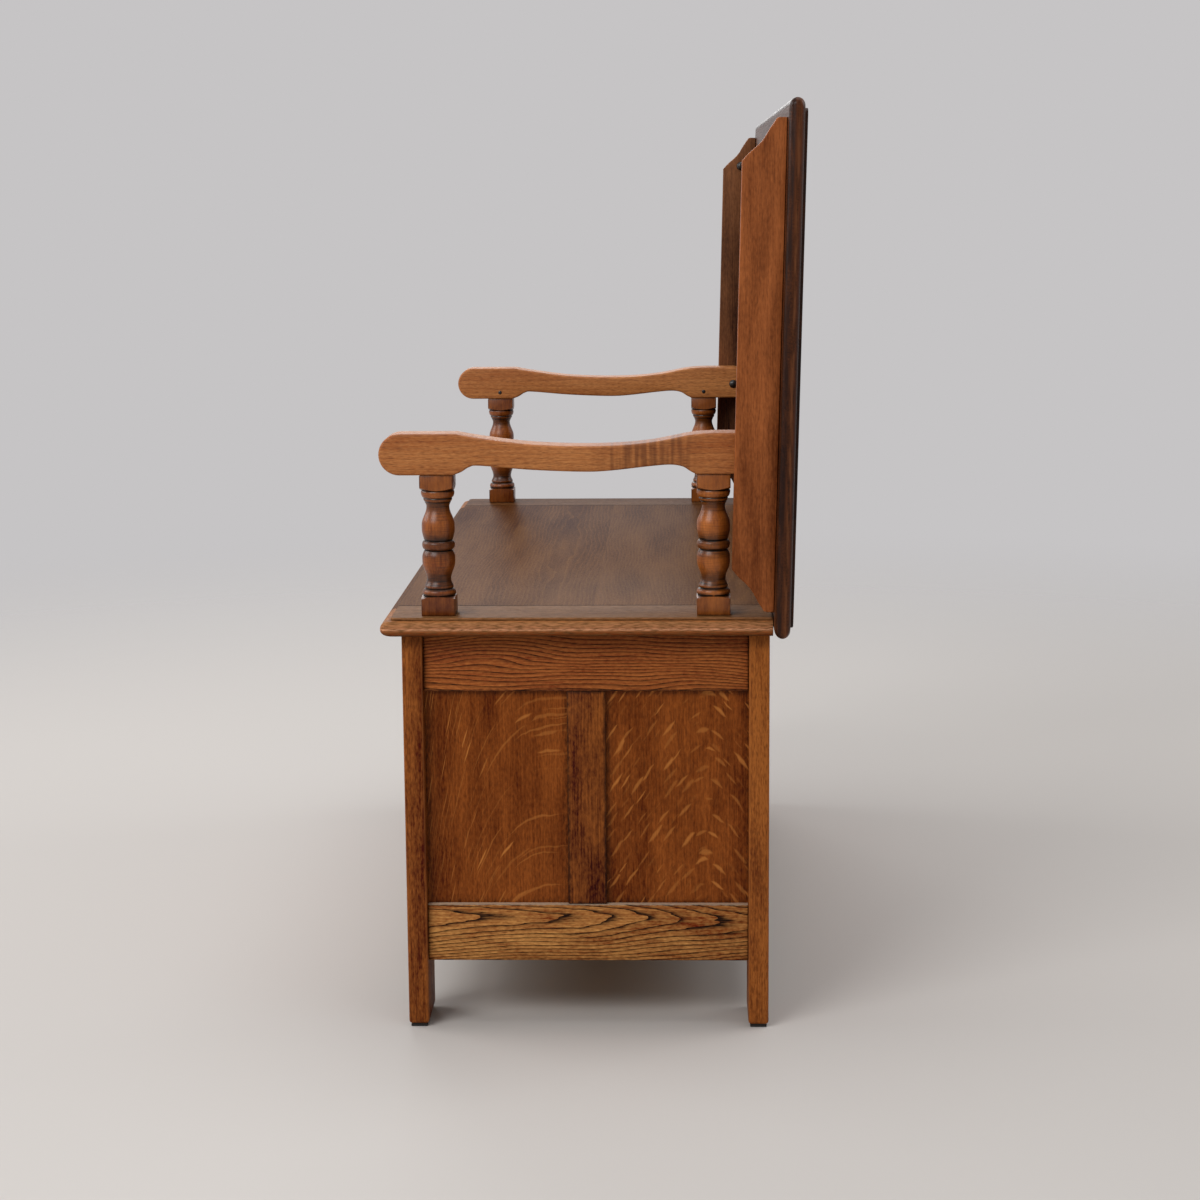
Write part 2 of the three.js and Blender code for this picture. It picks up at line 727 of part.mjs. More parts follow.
// The origin is on the floor, under the middle of the whole bench
const rearmost = Math.max(...thumbnailEdge(tableThickness).map(([inset, height]) => (
  pivotBack + (tableFace + height) * Math.cos(lean) + (tableAbovePivot - inset) * Math.sin(lean)
)));
bench.position.y = -(Math.min(seatFront, -armTipOverhang) + rearmost) / 2;

export default bench;
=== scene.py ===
# A settle bench whose back turns over to make a table: a panelled oak chest with a lifting lid,
# four turned balusters, two shaped arms, and a table top that swings on two knob-headed pegs.
import math
import random

import bpy
from mathutils import Matrix, Vector


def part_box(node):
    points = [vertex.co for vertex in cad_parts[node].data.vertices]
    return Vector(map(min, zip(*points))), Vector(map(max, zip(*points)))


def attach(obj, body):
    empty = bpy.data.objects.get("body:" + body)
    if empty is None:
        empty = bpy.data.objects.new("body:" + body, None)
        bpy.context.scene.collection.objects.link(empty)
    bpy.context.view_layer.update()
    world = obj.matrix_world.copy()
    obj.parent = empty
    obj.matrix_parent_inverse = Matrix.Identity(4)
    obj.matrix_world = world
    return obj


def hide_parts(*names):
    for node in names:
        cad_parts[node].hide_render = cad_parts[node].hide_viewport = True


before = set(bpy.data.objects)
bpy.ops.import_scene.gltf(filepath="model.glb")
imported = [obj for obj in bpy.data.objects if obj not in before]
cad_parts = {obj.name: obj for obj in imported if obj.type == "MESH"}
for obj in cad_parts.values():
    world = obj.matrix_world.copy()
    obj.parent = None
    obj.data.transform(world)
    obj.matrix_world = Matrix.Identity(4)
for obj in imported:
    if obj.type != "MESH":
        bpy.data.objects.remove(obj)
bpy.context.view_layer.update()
bpy.ops.object.select_all(action="DESELECT")


# Camera. It stands off the bench's right end, a little above the table's top edge, and looks
# slightly down along the seat, as the photograph does.
CAMERA_PLACE = (3.1149, 0.0919, 0.9103)
CAMERA_TURN = math.radians(91.823)
CAMERA_TILT = math.radians(80.581)
CAMERA_ROLL = math.radians(-0.439)
bpy.ops.object.camera_add()
camera = bpy.context.object
camera.data.lens = 74.16
camera.data.sensor_width = 36
camera.matrix_world = (
    Matrix.Translation(CAMERA_PLACE)
    @ Matrix.Rotation(CAMERA_TURN, 4, "Z")
    @ Matrix.Rotation(CAMERA_TILT, 4, "X")
    @ Matrix.Rotation(CAMERA_ROLL, 4, "Z")
)
bpy.context.scene.camera = camera
bpy.context.scene.view_settings.view_transform = "Standard"


# Floor and light. A plain pale floor fades out into a pale surround, and large soft lamps above
# and beside the camera light the bench evenly.
def linear(colour):
    """A colour written as sRGB hex, as the linear colour that a shader takes."""
    parts = [int(colour[i:i + 2], 16) / 255 for i in (1, 3, 5)]
    parts = [p / 12.92 if p <= 0.04045 else ((p + 0.055) / 1.055) ** 2.4 for p in parts]
    return (*parts, 1)


def add(tree, kind, inputs=None, stops=None, **settings):
    """Adds one node. inputs gives each socket a value, or the output that feeds it."""
    made = tree.nodes.new(kind)
    for name, value in settings.items():
        setattr(made, name, value)
    for socket, value in (inputs or {}).items():
        if isinstance(value, bpy.types.NodeSocket):
            tree.links.new(value, made.inputs[socket])
        else:
            made.inputs[socket].default_value = value
    for index, (position, colour) in enumerate(stops or []):
        elements = made.color_ramp.elements
        stop = elements[index] if index < 2 else elements.new(position)
        stop.position = position
        stop.color = colour
    return made


def new_material(name):
    """A new material, with its node tree and its shader."""
    material = bpy.data.materials.new(name)
    material.use_nodes = True
    return material, material.node_tree, material.node_tree.nodes["Principled BSDF"]


FLOOR_RADIUS = 3.6
FLOOR_FADE_START = 1.1
SURROUND = "#c6c4c5"
SKY_LIGHT = (0.3, 0.3, 0.31, 1)
world = bpy.data.worlds.new("pale surround")
bpy.context.scene.world = world
world.use_nodes = True
sky = world.node_tree
ray = add(sky, "ShaderNodeLightPath").outputs
seen = add(sky, "ShaderNodeMath", {
    0: ray["Is Camera Ray"], 1: ray["Is Glossy Ray"],
}, operation="MAXIMUM")
seen = add(sky, "ShaderNodeMath", {
    0: seen.outputs[0], 1: ray["Is Transmission Ray"],
}, operation="MAXIMUM")
tint = add(sky, "ShaderNodeMix", {
    0: seen.outputs[0], 6: SKY_LIGHT, 7: linear(SURROUND),
}, data_type="RGBA")
sky.links.new(tint.outputs[2], sky.nodes["Background"].inputs["Color"])

bpy.ops.mesh.primitive_circle_add(vertices=96, radius=FLOOR_RADIUS, fill_type="NGON")
floor = bpy.context.object
floor.name = "floor"
paper, tree, shader = new_material("pale matt floor")
shader.inputs["Base Color"].default_value = linear("#c9c4bf")
shader.inputs["Roughness"].default_value = 0.75
distance = add(tree, "ShaderNodeVectorMath", {
    0: add(tree, "ShaderNodeTexCoord").outputs["Object"],
}, operation="LENGTH")
fade = add(tree, "ShaderNodeMapRange", {
    "Value": distance.outputs["Value"], "From Min": FLOOR_FADE_START, "From Max": FLOOR_RADIUS,
}, interpolation_type="SMOOTHSTEP")
blend = add(tree, "ShaderNodeMixShader", {
    0: fade.outputs[0], 1: shader.outputs[0], 2: add(tree, "ShaderNodeBsdfTransparent").outputs[0],
})
tree.links.new(blend.outputs[0], tree.nodes["Material Output"].inputs["Surface"])
floor.data.materials.append(paper)

for label, place, width, height, power in (
    ("key", (3.2, -2.2, 2.9), 2.4, 1.6, 90),
    ("front", (-0.6, -3.6, 2.2), 2.6, 1.6, 52),
    ("top", (0.2, 0.4, 3.6), 2.4, 2.4, 40),
    ("back", (-0.8, 3.4, 2.4), 2.4, 1.8, 34),
    ("far end", (-3.6, -0.8, 2.2), 2.0, 1.6, 30),
):
    bpy.ops.object.light_add(type="AREA", location=place)
    lamp = bpy.context.object
    lamp.name = label + " lamp"
    lamp.data.shape = "RECTANGLE"
    lamp.data.size = width
    lamp.data.size_y = height
    lamp.data.energy = power
    lamp.rotation_euler = (Vector((0, 0, 0.5)) - Vector(place)).to_track_quat("-Z", "Y").to_euler()


# Posts. Four oak planks on edge stand at the chest's corners, with rubbed arrises and feet that
# are rounded where they have been dragged about. The finish is old stain under wax.
MM = 0.001


def block(name, low, high):
    """A squared board between two corners."""
    low, high = Vector(low), Vector(high)
    bpy.ops.object.select_all(action="DESELECT")
    bpy.ops.mesh.primitive_cube_add(size=1, location=(low + high) / 2)
    made = bpy.context.object
    made.name = name
    made.scale = high - low
    bpy.ops.object.transform_apply()
    return made


def select(*pieces):
    bpy.ops.object.select_all(action="DESELECT")
    for piece in pieces:
        piece.select_set(True)
    bpy.context.view_layer.objects.active = pieces[0]


def edit(piece, kind, chosen):
    """Opens a piece in edit mode with the edges or faces selected that chosen picks by their ends."""
    select(piece)
    bpy.ops.object.mode_set(mode="EDIT")
    bpy.ops.mesh.select_mode(type=kind)
    bpy.ops.mesh.select_all(action="DESELECT")
    bpy.ops.object.mode_set(mode="OBJECT")
    points = [vertex.co for vertex in piece.data.vertices]
    for item in piece.data.edges if kind == "EDGE" else piece.data.polygons:
        item.select = chosen([points[index] for index in item.vertices])
    bpy.ops.object.mode_set(mode="EDIT")


def round_edges(piece, chosen, width, segments):
    edit(piece, "EDGE", chosen)
    bpy.ops.mesh.bevel(offset=width, segments=segments, affect="EDGES")
    bpy.ops.object.mode_set(mode="OBJECT")


def finish_with(piece, kind, **settings):
    """Adds a modifier and applies it."""
    select(piece)
    bpy.ops.object.modifier_add(type=kind)
    modifier = piece.modifiers[-1]
    for name, value in settings.items():
        setattr(modifier, name, value)
    bpy.ops.object.modifier_apply(modifier=modifier.name)


def ease(piece, width, segments=2):
    finish_with(
        piece, "BEVEL", width=width, segments=segments, limit_method="ANGLE",
        angle_limit=math.radians(40),
    )


def mark(piece, name, values, kind="FLOAT", domain="POINT"):
    """Gives each of a piece's points or faces a value, which its material can read."""
    made = piece.data.attributes.new(name, kind, domain)
    made.data.foreach_set("value" if kind == "FLOAT" else "vector", values)


chance = random.Random(7)


def fit(piece, material, slot, *nodes, body="bench", tone=0.0):
    """Gives a finished piece its material, its own cut of wood, and its place in the frame.
    tone makes this piece lighter or darker than others of the same wood; a pair of tones is
    for the two ends of its longest side, and paints light and shade along the posts and bearers."""
    piece.data.materials.clear()
    piece.data.materials.append(material)
    points = [vertex.co for vertex in piece.data.vertices]
    low, high = (Vector(map(pick, *points)) for pick in (min, max))
    cut = Vector(chance.uniform(-9, 9) for _ in range(3))
    for name, value in (("low", low), ("high", high), ("cut", cut)):
        mark(piece, name, [*value] * len(points), "FLOAT_VECTOR")
    first, last = tone if isinstance(tone, tuple) else (tone, tone)
    size = high - low
    longest = max(range(3), key=lambda axis: size[axis])
    mark(piece, "shade", [
        first + (last - first) * (vertex.co[longest] - low[longest]) / size[longest]
        for vertex in piece.data.vertices
    ])
    select(piece)
    bpy.ops.object.shade_smooth_by_angle(angle=math.radians(35))
    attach(piece, body)
    if nodes:
        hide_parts(*nodes)
    return piece


# Noises in the wood: their length along the fibres and width across them in mm, and their detail
GRAIN_NOISES = (
    ("tone", 300, 38, 2), ("wander", 240, 75, 1.5), ("streak", 55, 1.7, 3), ("fibre", 16, 0.9, 2),
    ("mottle", 6, 2.4, 2), ("pore", 8, 0.8, 1), ("ripple", 28, 5, 1), ("cloud", 75, 17, 3),
)
RING_RIPPLE = 1.4 * MM
PORE_ROUGHNESS = 0.25
PITH_SHIFT = 0.1 / 9
PLANK_SHIFT = (5.3, 2.7, 3.9)
PLANK_TONES = (-0.25, 0.25)


def oak(
    name, along, dark, middle, light, ring=4, lines=0.5, sharp=4, pores=0.5, streaks=1.0, patches=1.0,
    clouds=0.5, glow=0.0, rough=0.45, shine=0.1, rim=None, rim_reach=3, rim_share=0.6, plank=0,
    pith=(30, 22), slope=(0, 0), wander=24,
):
    """Stained and waxed oak, whose fibres run along the first of the three axes named in along.
    The growth rings show as dark open lines, a ring apart, round a pith that lies to the side of
    the board's middle and behind it, and leans by a slope. The pores are short dark dashes. glow
    makes the rings paler than the wood between them, and clouds is how uneven the stain is. rim
    is a colour at the piece's edges, and plank the width of glued boards. Lengths are in mm."""
    material, tree, shader = new_material(name)
    shader.inputs["Specular IOR Level"].default_value = shine
    place = add(tree, "ShaderNodeTexCoord").outputs["Object"]
    cut, low, high = (
        add(tree, "ShaderNodeAttribute", attribute_name=label).outputs["Vector"]
        for label in ("cut", "low", "high")
    )
    axes = add(tree, "ShaderNodeSeparateXYZ", {0: place})
    if plank:
        board = add(tree, "ShaderNodeMath", {
            0: axes.outputs["XYZ".index(along[1])], 1: plank * MM,
        }, operation="DIVIDE")
        board = add(tree, "ShaderNodeMath", {0: board.outputs[0]}, operation="FLOOR").outputs[0]
        cut = add(tree, "ShaderNodeVectorMath", {
            0: board, 1: PLANK_SHIFT, 2: cut,
        }, operation="MULTIPLY_ADD").outputs[0]
    middle_point = add(tree, "ShaderNodeVectorMath", {0: low, 1: high}, operation="ADD")
    local = add(tree, "ShaderNodeVectorMath", {
        0: middle_point.outputs[0], 1: (-0.5, -0.5, -0.5), 2: place,
    }, operation="MULTIPLY_ADD")
    axes = add(tree, "ShaderNodeSeparateXYZ", {0: local.outputs[0]})
    grain = add(tree, "ShaderNodeCombineXYZ", {
        index: axes.outputs["XYZ".index(axis)] for index, axis in enumerate(along)
    }).outputs[0]
    shifted = add(tree, "ShaderNodeVectorMath", {0: grain, 1: cut}, operation="ADD").outputs[0]
    noises = {}
    for label, length, width, detail in GRAIN_NOISES:
        stretched = add(tree, "ShaderNodeVectorMath", {
            0: shifted, 1: (1 / (length * MM), 1 / (width * MM), 1 / (width * MM)),
        }, operation="MULTIPLY")
        noises[label] = add(tree, "ShaderNodeTexNoise", {
            "Vector": stretched.outputs[0], "Scale": 1, "Detail": detail, "Roughness": 0.55,
        }).outputs
    # Rings round the pith, which wanders along the board as the tree grew
    side, deep = (length * MM for length in pith)
    bend = wander * MM
    pith_line = add(tree, "ShaderNodeVectorMath", {
        0: noises["wander"]["Color"], 1: (0, bend, 0.6 * bend),
        2: (0, side - bend / 2, deep - 0.3 * bend),
    }, operation="MULTIPLY_ADD")
    jitter = add(tree, "ShaderNodeVectorMath", {
        0: cut, 1: (0, PITH_SHIFT * side, PITH_SHIFT * deep), 2: pith_line.outputs[0],
    }, operation="MULTIPLY_ADD")
    leaning = add(tree, "ShaderNodeVectorMath", {
        0: add(tree, "ShaderNodeSeparateXYZ", {0: grain}).outputs[0], 1: (0, *slope),
        2: jitter.outputs[0],
    }, operation="MULTIPLY_ADD")
    radial = add(tree, "ShaderNodeVectorMath", {
        0: grain, 1: (0, 1, 1), 2: leaning.outputs[0],
    }, operation="MULTIPLY_ADD")
    radius = add(tree, "ShaderNodeVectorMath", {0: radial.outputs[0]}, operation="LENGTH")
    radius = add(tree, "ShaderNodeMath", {
        0: noises["ripple"]["Fac"], 1: RING_RIPPLE, 2: radius.outputs["Value"],
    }, operation="MULTIPLY_ADD")
    year = add(tree, "ShaderNodeMath", {0: radius.outputs[0], 1: ring * MM}, operation="DIVIDE")
    year = add(tree, "ShaderNodeMath", {0: year.outputs[0]}, operation="FRACT")
    early = add(tree, "ShaderNodeMath", {
        0: add(tree, "ShaderNodeMath", {0: 1.0, 1: year.outputs[0]}, operation="SUBTRACT").outputs[0],
        1: sharp,
    }, operation="POWER")
    broken = add(tree, "ShaderNodeMapRange", {
        "Value": noises["fibre"]["Fac"], "From Min": 0.3, "From Max": 0.6, "To Min": 0.5,
        "To Max": 1.2,
    })
    line = add(tree, "ShaderNodeMath", {
        0: early.outputs[0], 1: broken.outputs[0],
    }, operation="MULTIPLY")
    line = add(tree, "ShaderNodeMath", {0: line.outputs[0], 1: lines}, operation="MULTIPLY")
    open_pore = add(tree, "ShaderNodeMapRange", {
        "Value": noises["pore"]["Fac"], "From Min": 0.5, "From Max": 0.7,
    })
    shade = add(tree, "ShaderNodeMath", {
        0: open_pore.outputs[0], 1: pores, 2: line.outputs[0],
    }, operation="MULTIPLY_ADD", use_clamp=True)
    tone = add(tree, "ShaderNodeAttribute", attribute_name="shade").outputs["Fac"]
    tone = add(tree, "ShaderNodeMath", {0: tone, 1: 0.5}, operation="ADD").outputs[0]
    if plank:
        glued = add(tree, "ShaderNodeTexWhiteNoise", {"W": board}, noise_dimensions="1D")
        glued = add(tree, "ShaderNodeMapRange", {
            "Value": glued.outputs["Value"], "To Min": PLANK_TONES[0], "To Max": PLANK_TONES[1],
        })
        tone = add(tree, "ShaderNodeMath", {0: tone, 1: glued.outputs[0]}, operation="ADD").outputs[0]
    tone = add(tree, "ShaderNodeMath", {0: early.outputs[0], 1: glow, 2: tone}, operation="MULTIPLY_ADD")
    tone = tone.outputs[0]
    for label, share in (
        ("tone", 2 * patches), ("cloud", 2 * clouds), ("streak", 2 * streaks), ("mottle", 2 * streaks),
    ):
        centred = add(tree, "ShaderNodeMath", {
            0: noises[label]["Fac"], 1: 0.5,
        }, operation="SUBTRACT")
        tone = add(tree, "ShaderNodeMath", {
            0: centred.outputs[0], 1: share, 2: tone,
        }, operation="MULTIPLY_ADD").outputs[0]
    tone = add(tree, "ShaderNodeClamp", {"Value": tone, "Min": -0.45, "Max": 1.4})
    ground = add(tree, "ShaderNodeMix", {
        0: tone.outputs[0], 6: linear(middle), 7: linear(light),
    }, data_type="RGBA", clamp_factor=False)
    colour = add(tree, "ShaderNodeMix", {
        0: shade.outputs[0], 6: ground.outputs[2], 7: linear(dark),
    }, data_type="RGBA")
    if rim:
        # The middle one of the three distances to the piece's faces is that to its nearest edge
        near = add(tree, "ShaderNodeVectorMath", {
            0: add(tree, "ShaderNodeVectorMath", {0: place, 1: low}, operation="SUBTRACT").outputs[0],
            1: add(tree, "ShaderNodeVectorMath", {0: high, 1: place}, operation="SUBTRACT").outputs[0],
        }, operation="MINIMUM")
        a, b, c = add(tree, "ShaderNodeSeparateXYZ", {0: near.outputs[0]}).outputs
        less = add(tree, "ShaderNodeMath", {0: a, 1: b}, operation="MINIMUM").outputs[0]
        more = add(tree, "ShaderNodeMath", {0: a, 1: b}, operation="MAXIMUM").outputs[0]
        more = add(tree, "ShaderNodeMath", {0: more, 1: c}, operation="MINIMUM").outputs[0]
        edge = add(tree, "ShaderNodeMath", {0: less, 1: more}, operation="MAXIMUM").outputs[0]
        reach = rim_reach * MM
        uneven = add(tree, "ShaderNodeMath", {
            0: noises["mottle"]["Fac"], 1: reach, 2: edge,
        }, operation="MULTIPLY_ADD")
        edge = add(tree, "ShaderNodeMapRange", {
            "Value": uneven.outputs[0], "From Min": 0.3 * reach, "From Max": 1.6 * reach,
            "To Min": rim_share, "To Max": 0.0,
        }, interpolation_type="SMOOTHSTEP")
        colour = add(tree, "ShaderNodeMix", {
            0: edge.outputs[0], 6: colour.outputs[2], 7: linear(rim),
        }, data_type="RGBA")
    tree.links.new(colour.outputs[2], shader.inputs["Base Color"])
    gloss = add(tree, "ShaderNodeMapRange", {
        "Value": shade.outputs[0], "To Min": rough, "To Max": min(1.0, rough + PORE_ROUGHNESS),
    })
    tree.links.new(gloss.outputs[0], shader.inputs["Roughness"])
    relief = add(tree, "ShaderNodeBump", {
        "Height": shade.outputs[0], "Strength": 0.35, "Distance": 0.15 * MM,
    }, invert=True)
    tree.links.new(relief.outputs[0], shader.inputs["Normal"])
    return material


ENDS = ("left", "right")
ROWS = ("front", "back")
CORNERS = [(row, end) for row in ROWS for end in ENDS]
FOOT_ROUND = 3.5 * MM
post_oak = oak(
    "stained oak posts", "ZYX", "#371605", "#6a310d", "#9c5823", ring=3, lines=0.2, pores=0.5,
    clouds=1.3, rim="#a3683a", rim_reach=1.8, rim_share=0.6, pith=(200, 60),
)
for row, end in CORNERS:
    low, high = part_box(f"post_{row}_{end}")
    post = block(f"oak_post_{row}_{end}", low, high)
    round_edges(post, lambda ends: all(p.z < low.z + MM for p in ends), FOOT_ROUND, 3)
    ease(post, 1.6 * MM, 3)
    # The tone pairs paint each post darker towards its foot: painted shade near the floor.
    tone = {"front": (-0.3, 0.2), "back": (0.2, 0.65)}[row]
    fit(post, post_oak, "frame_oak", f"post_{row}_{end}", tone=tone)


# Rails and muntins. Squared oak boards are tenoned into the posts; the chest's ends show a wilder
# cut of wood than the posts do, with dark open growth rings, and the lower rails are paler.
GAP = 0.3 * MM
LEDGE_WEAR_AND_HIGHLIGHT = 3 * MM


def squared(node, wood, slot, box=None, width=0.8, label="oak"):
    """Squares up a board in a box, which is the node's own if none is given, and eases it."""
    board = block(f"{label}_{node}", *(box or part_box(node)))
    ease(board, width * MM)
    fit(board, wood, slot, node)


def stain(material, share, colour):
    """Lays another colour over a material's own, by a share."""
    tree = material.node_tree
    socket = tree.nodes["Principled BSDF"].inputs["Base Color"]
    laid = add(tree, "ShaderNodeMix", {
        0: share.outputs[0], 6: socket.links[0].from_socket, 7: colour,
    }, data_type="RGBA")
    tree.links.new(laid.outputs[2], socket)


def between(node, axis, first, second):
    """A node's box, drawn in along one axis to the shoulders between two other pieces."""
    low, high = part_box(node)
    low[axis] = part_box(first)[1][axis] + GAP
    high[axis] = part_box(second)[0][axis] - GAP
    return low, high


upper_rail_oak = {
    run: oak(
        f"open-grained oak, upper {run} rails", along, "#1a0902", "#843d19", "#ad622e", ring=3.7,
        lines=1.05, sharp=3.2, pores=0.2, rim="#150803", rim_reach=3, rim_share=0.9,
        pith=(-130, 25), wander=50,
    ) for run, along in (("end", "YZX"), ("long", "XZY"))
}
lower_rail_oak = {
    run: oak(
        f"pale open-grained oak, lower {run} rails", along, "#1e0c03", "#8c4e22", "#c18547", ring=2.9,
        lines=1.5, sharp=5, pores=0.35, clouds=1.0, rim="#1c0d04", rim_reach=2, rim_share=0.8,
        pith=(-14, 16), slope=(0, 0.05), wander=26,
    ) for run, along in (("end", "YZX"), ("long", "XZY"))
}
for wood in lower_rail_oak.values():
    # The rail's upper edge stands proud of the panels. It is rubbed pale, and the same pale colour is
    # also a painted highlight where the light catches its top.
    tree = wood.node_tree
    height = add(tree, "ShaderNodeVectorMath", {
        0: add(tree, "ShaderNodeAttribute", attribute_name="high").outputs["Vector"],
        1: add(tree, "ShaderNodeTexCoord").outputs["Object"],
    }, operation="SUBTRACT")
    below = add(tree, "ShaderNodeSeparateXYZ", {0: height.outputs[0]}).outputs[2]
    patchy = add(tree, "ShaderNodeTexNoise", {"Scale": 1 / (14 * MM), "Detail": 2})
    ledge_wear_and_highlight = add(tree, "ShaderNodeMath", {
        0: patchy.outputs["Fac"], 1: LEDGE_WEAR_AND_HIGHLIGHT, 2: below,
    }, operation="MULTIPLY_ADD")
    ledge_wear_and_highlight = add(tree, "ShaderNodeMapRange", {
        "Value": ledge_wear_and_highlight.outputs[0], "From Min": 0.4 * LEDGE_WEAR_AND_HIGHLIGHT, "From Max": LEDGE_WEAR_AND_HIGHLIGHT,
        "To Min": 0.8, "To Max": 0.0,
    })
    stain(wood, ledge_wear_and_highlight, linear("#c3ad97"))
muntin_oak = oak(
    "dark stained oak muntins", "ZYX", "#2a1105", "#5e2a0b", "#965320", ring=3, lines=0.2,
    pores=0.15, streaks=0.9, clouds=1.2, rim="#1a0a04", rim_reach=4, rim_share=0.85, pith=(120, 40),
)
for level, woods in (("top", upper_rail_oak), ("bottom", lower_rail_oak)):
    for end in ENDS:
        node = f"end_rail_{level}_{end}"
        box = between(node, 1, f"post_front_{end}", f"post_back_{end}")
        squared(node, woods["end"], "rail_oak", box)
    for row in ROWS:
        node = f"{row}_rail_{level}"
        box = between(node, 0, f"post_{row}_left", f"post_{row}_right")
        squared(node, woods["long"], "rail_oak", box)
for node, rail in (
    ("end_muntin_left", "end_rail_{}_left"), ("end_muntin_right", "end_rail_{}_right"),
    ("front_muntin_left", "front_rail_{}"), ("front_muntin_right", "front_rail_{}"),
    ("back_muntin", "back_rail_{}"),
):
    box = between(node, 2, rail.format("bottom"), rail.format("top"))
    squared(node, muntin_oak, "frame_oak", box)


# Panels. Thin quarter-sawn boards sit loose in grooves. Sawn through the heart, they show the
# wood's rays as pale silky flecks, which run in arcs on some boards and in chevrons on others.
PANEL_STEP = 5 * MM
ARC_RISE = 0.39
ARC_POWER = 3.2
CHEVRON_SLOPE = 1.45
CHEVRON_SOFTNESS = 0.02
FIGURE_WAVE = (0.009, 0.004, 0)
FLECK_SIZES = (0.45, 1.3)


def flecked_panel(node, across, mirrored, shape, middle):
    """across is the panel's wide axis, and mirrored turns the figure over. middle is the share of
    its width where a chevron has its point, or where an arc's strokes turn level."""
    low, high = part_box(node)
    size = high - low
    centre = (low + high) / 2
    through = 1 - across
    wide, tall = size[across], size.z
    bpy.ops.object.select_all(action="DESELECT")
    turn = (math.pi / 2, 0, math.pi / 2 if across == 1 else 0)
    bpy.ops.mesh.primitive_grid_add(
        x_subdivisions=round(wide / PANEL_STEP), y_subdivisions=round(tall / PANEL_STEP),
        size=1, location=centre, rotation=turn,
    )
    panel = bpy.context.object
    panel.name = f"oak_{node}"
    panel.scale = (wide, tall, 1)
    bpy.ops.object.transform_apply()
    finish_with(panel, "SOLIDIFY", thickness=size[through], offset=0)
    values = []
    for vertex in panel.data.vertices:
        side = (vertex.co[across] - low[across]) / wide
        side = 1 - side if mirrored else side
        height = vertex.co.z - centre.z
        if shape == "arc":
            level = height + ARC_RISE * max(0, middle - side) ** ARC_POWER
            values += [level, side * wide + 0.8 * height, 0]
        else:
            off = (side - middle) * wide
            level = height + CHEVRON_SLOPE * math.hypot(off, CHEVRON_SOFTNESS)
            values += [level, off, 1]
    mark(panel, "figure", values, "FLOAT_VECTOR")
    return panel


def quarter_sawn(name, along, middle, light, fleck):
    """Oak with ray flecks that follow a panel's figure attribute. Each fleck is a stroke with
    pointed ends, set at random in a cell of its own."""
    # The dark rim round each panel is partly grime in its joints and partly painted shade where the
    # panel lies back behind the rails and muntins.
    material = oak(
        name, along, "#2e1304", middle, light, ring=2.6, lines=0.1, pores=0.35, streaks=1.0,
        clouds=1.0, rough=0.42, rim="#180a03", rim_reach=14, rim_share=1.0, pith=(260, 40),
    )
    tree = material.node_tree
    figure = add(tree, "ShaderNodeAttribute", attribute_name="figure").outputs["Vector"]
    cut = add(tree, "ShaderNodeAttribute", attribute_name="cut").outputs["Vector"]
    place = add(tree, "ShaderNodeTexCoord").outputs["Object"]
    wavy = add(tree, "ShaderNodeTexNoise", {"Vector": place, "Scale": 1 / (22 * MM), "Detail": 2})
    warp = add(tree, "ShaderNodeVectorMath", {
        0: wavy.outputs["Color"], 1: FIGURE_WAVE, 2: figure,
    }, operation="MULTIPLY_ADD")
    family = add(tree, "ShaderNodeSeparateXYZ", {0: warp.outputs[0]}).outputs[2]
    shares = []
    for chevron, cell_high, cell_long, half_width, half_length, some, bright in FLECKS:
        cells = add(tree, "ShaderNodeVectorMath", {
            0: warp.outputs[0], 1: (1 / (cell_high * MM), 1 / (cell_long * MM), 1), 2: cut,
        }, operation="MULTIPLY_ADD")
        cell = add(tree, "ShaderNodeTexVoronoi", {
            "Vector": cells.outputs[0], "Scale": 1,
        }, voronoi_dimensions="2D")
        away = add(tree, "ShaderNodeVectorMath", {
            0: cells.outputs[0], 1: cell.outputs["Position"],
        }, operation="SUBTRACT")
        picked, size, tint = add(
            tree, "ShaderNodeSeparateColor", {0: cell.outputs["Color"]},
        ).outputs
        away = add(tree, "ShaderNodeVectorMath", {
            0: away.outputs[0], 1: (cell_high / half_width, cell_long / half_length, 0),
        }, operation="MULTIPLY")
        off, on = add(tree, "ShaderNodeSeparateXYZ", {0: away.outputs[0]}).outputs[:2]
        across = add(tree, "ShaderNodeMath", {0: off}, operation="ABSOLUTE")
        stroke = add(tree, "ShaderNodeMath", {
            0: on, 1: on, 2: across.outputs[0],
        }, operation="MULTIPLY_ADD")
        scale = add(tree, "ShaderNodeMapRange", {
            "Value": size, "To Min": FLECK_SIZES[0], "To Max": FLECK_SIZES[1],
        })
        stroke = add(tree, "ShaderNodeMath", {
            0: stroke.outputs[0], 1: scale.outputs[0],
        }, operation="DIVIDE")
        stroke = add(tree, "ShaderNodeMapRange", {
            "Value": stroke.outputs[0], "From Min": 1.0, "From Max": 0.25,
        }, interpolation_type="SMOOTHSTEP")
        shown = add(tree, "ShaderNodeMapRange", {
            "Value": picked, "From Min": 1 - some, "From Max": 1 - some + 0.02,
        })
        strength = add(tree, "ShaderNodeMapRange", {
            "Value": tint, "To Min": 0.35 * bright, "To Max": bright,
        })
        mine = add(tree, "ShaderNodeMath", {
            0: family, 1: float(chevron), 2: 0.1,
        }, operation="COMPARE")
        share = stroke
        for factor in (shown, strength, mine):
            share = add(tree, "ShaderNodeMath", {
                0: share.outputs[0], 1: factor.outputs[0],
            }, operation="MULTIPLY")
        shares.append(share)
    total = shares[0]
    for share in shares[1:]:
        total = add(tree, "ShaderNodeMath", {
            0: total.outputs[0], 1: share.outputs[0],
        }, operation="MAXIMUM")
    stain(material, total, linear(fleck))
    return material


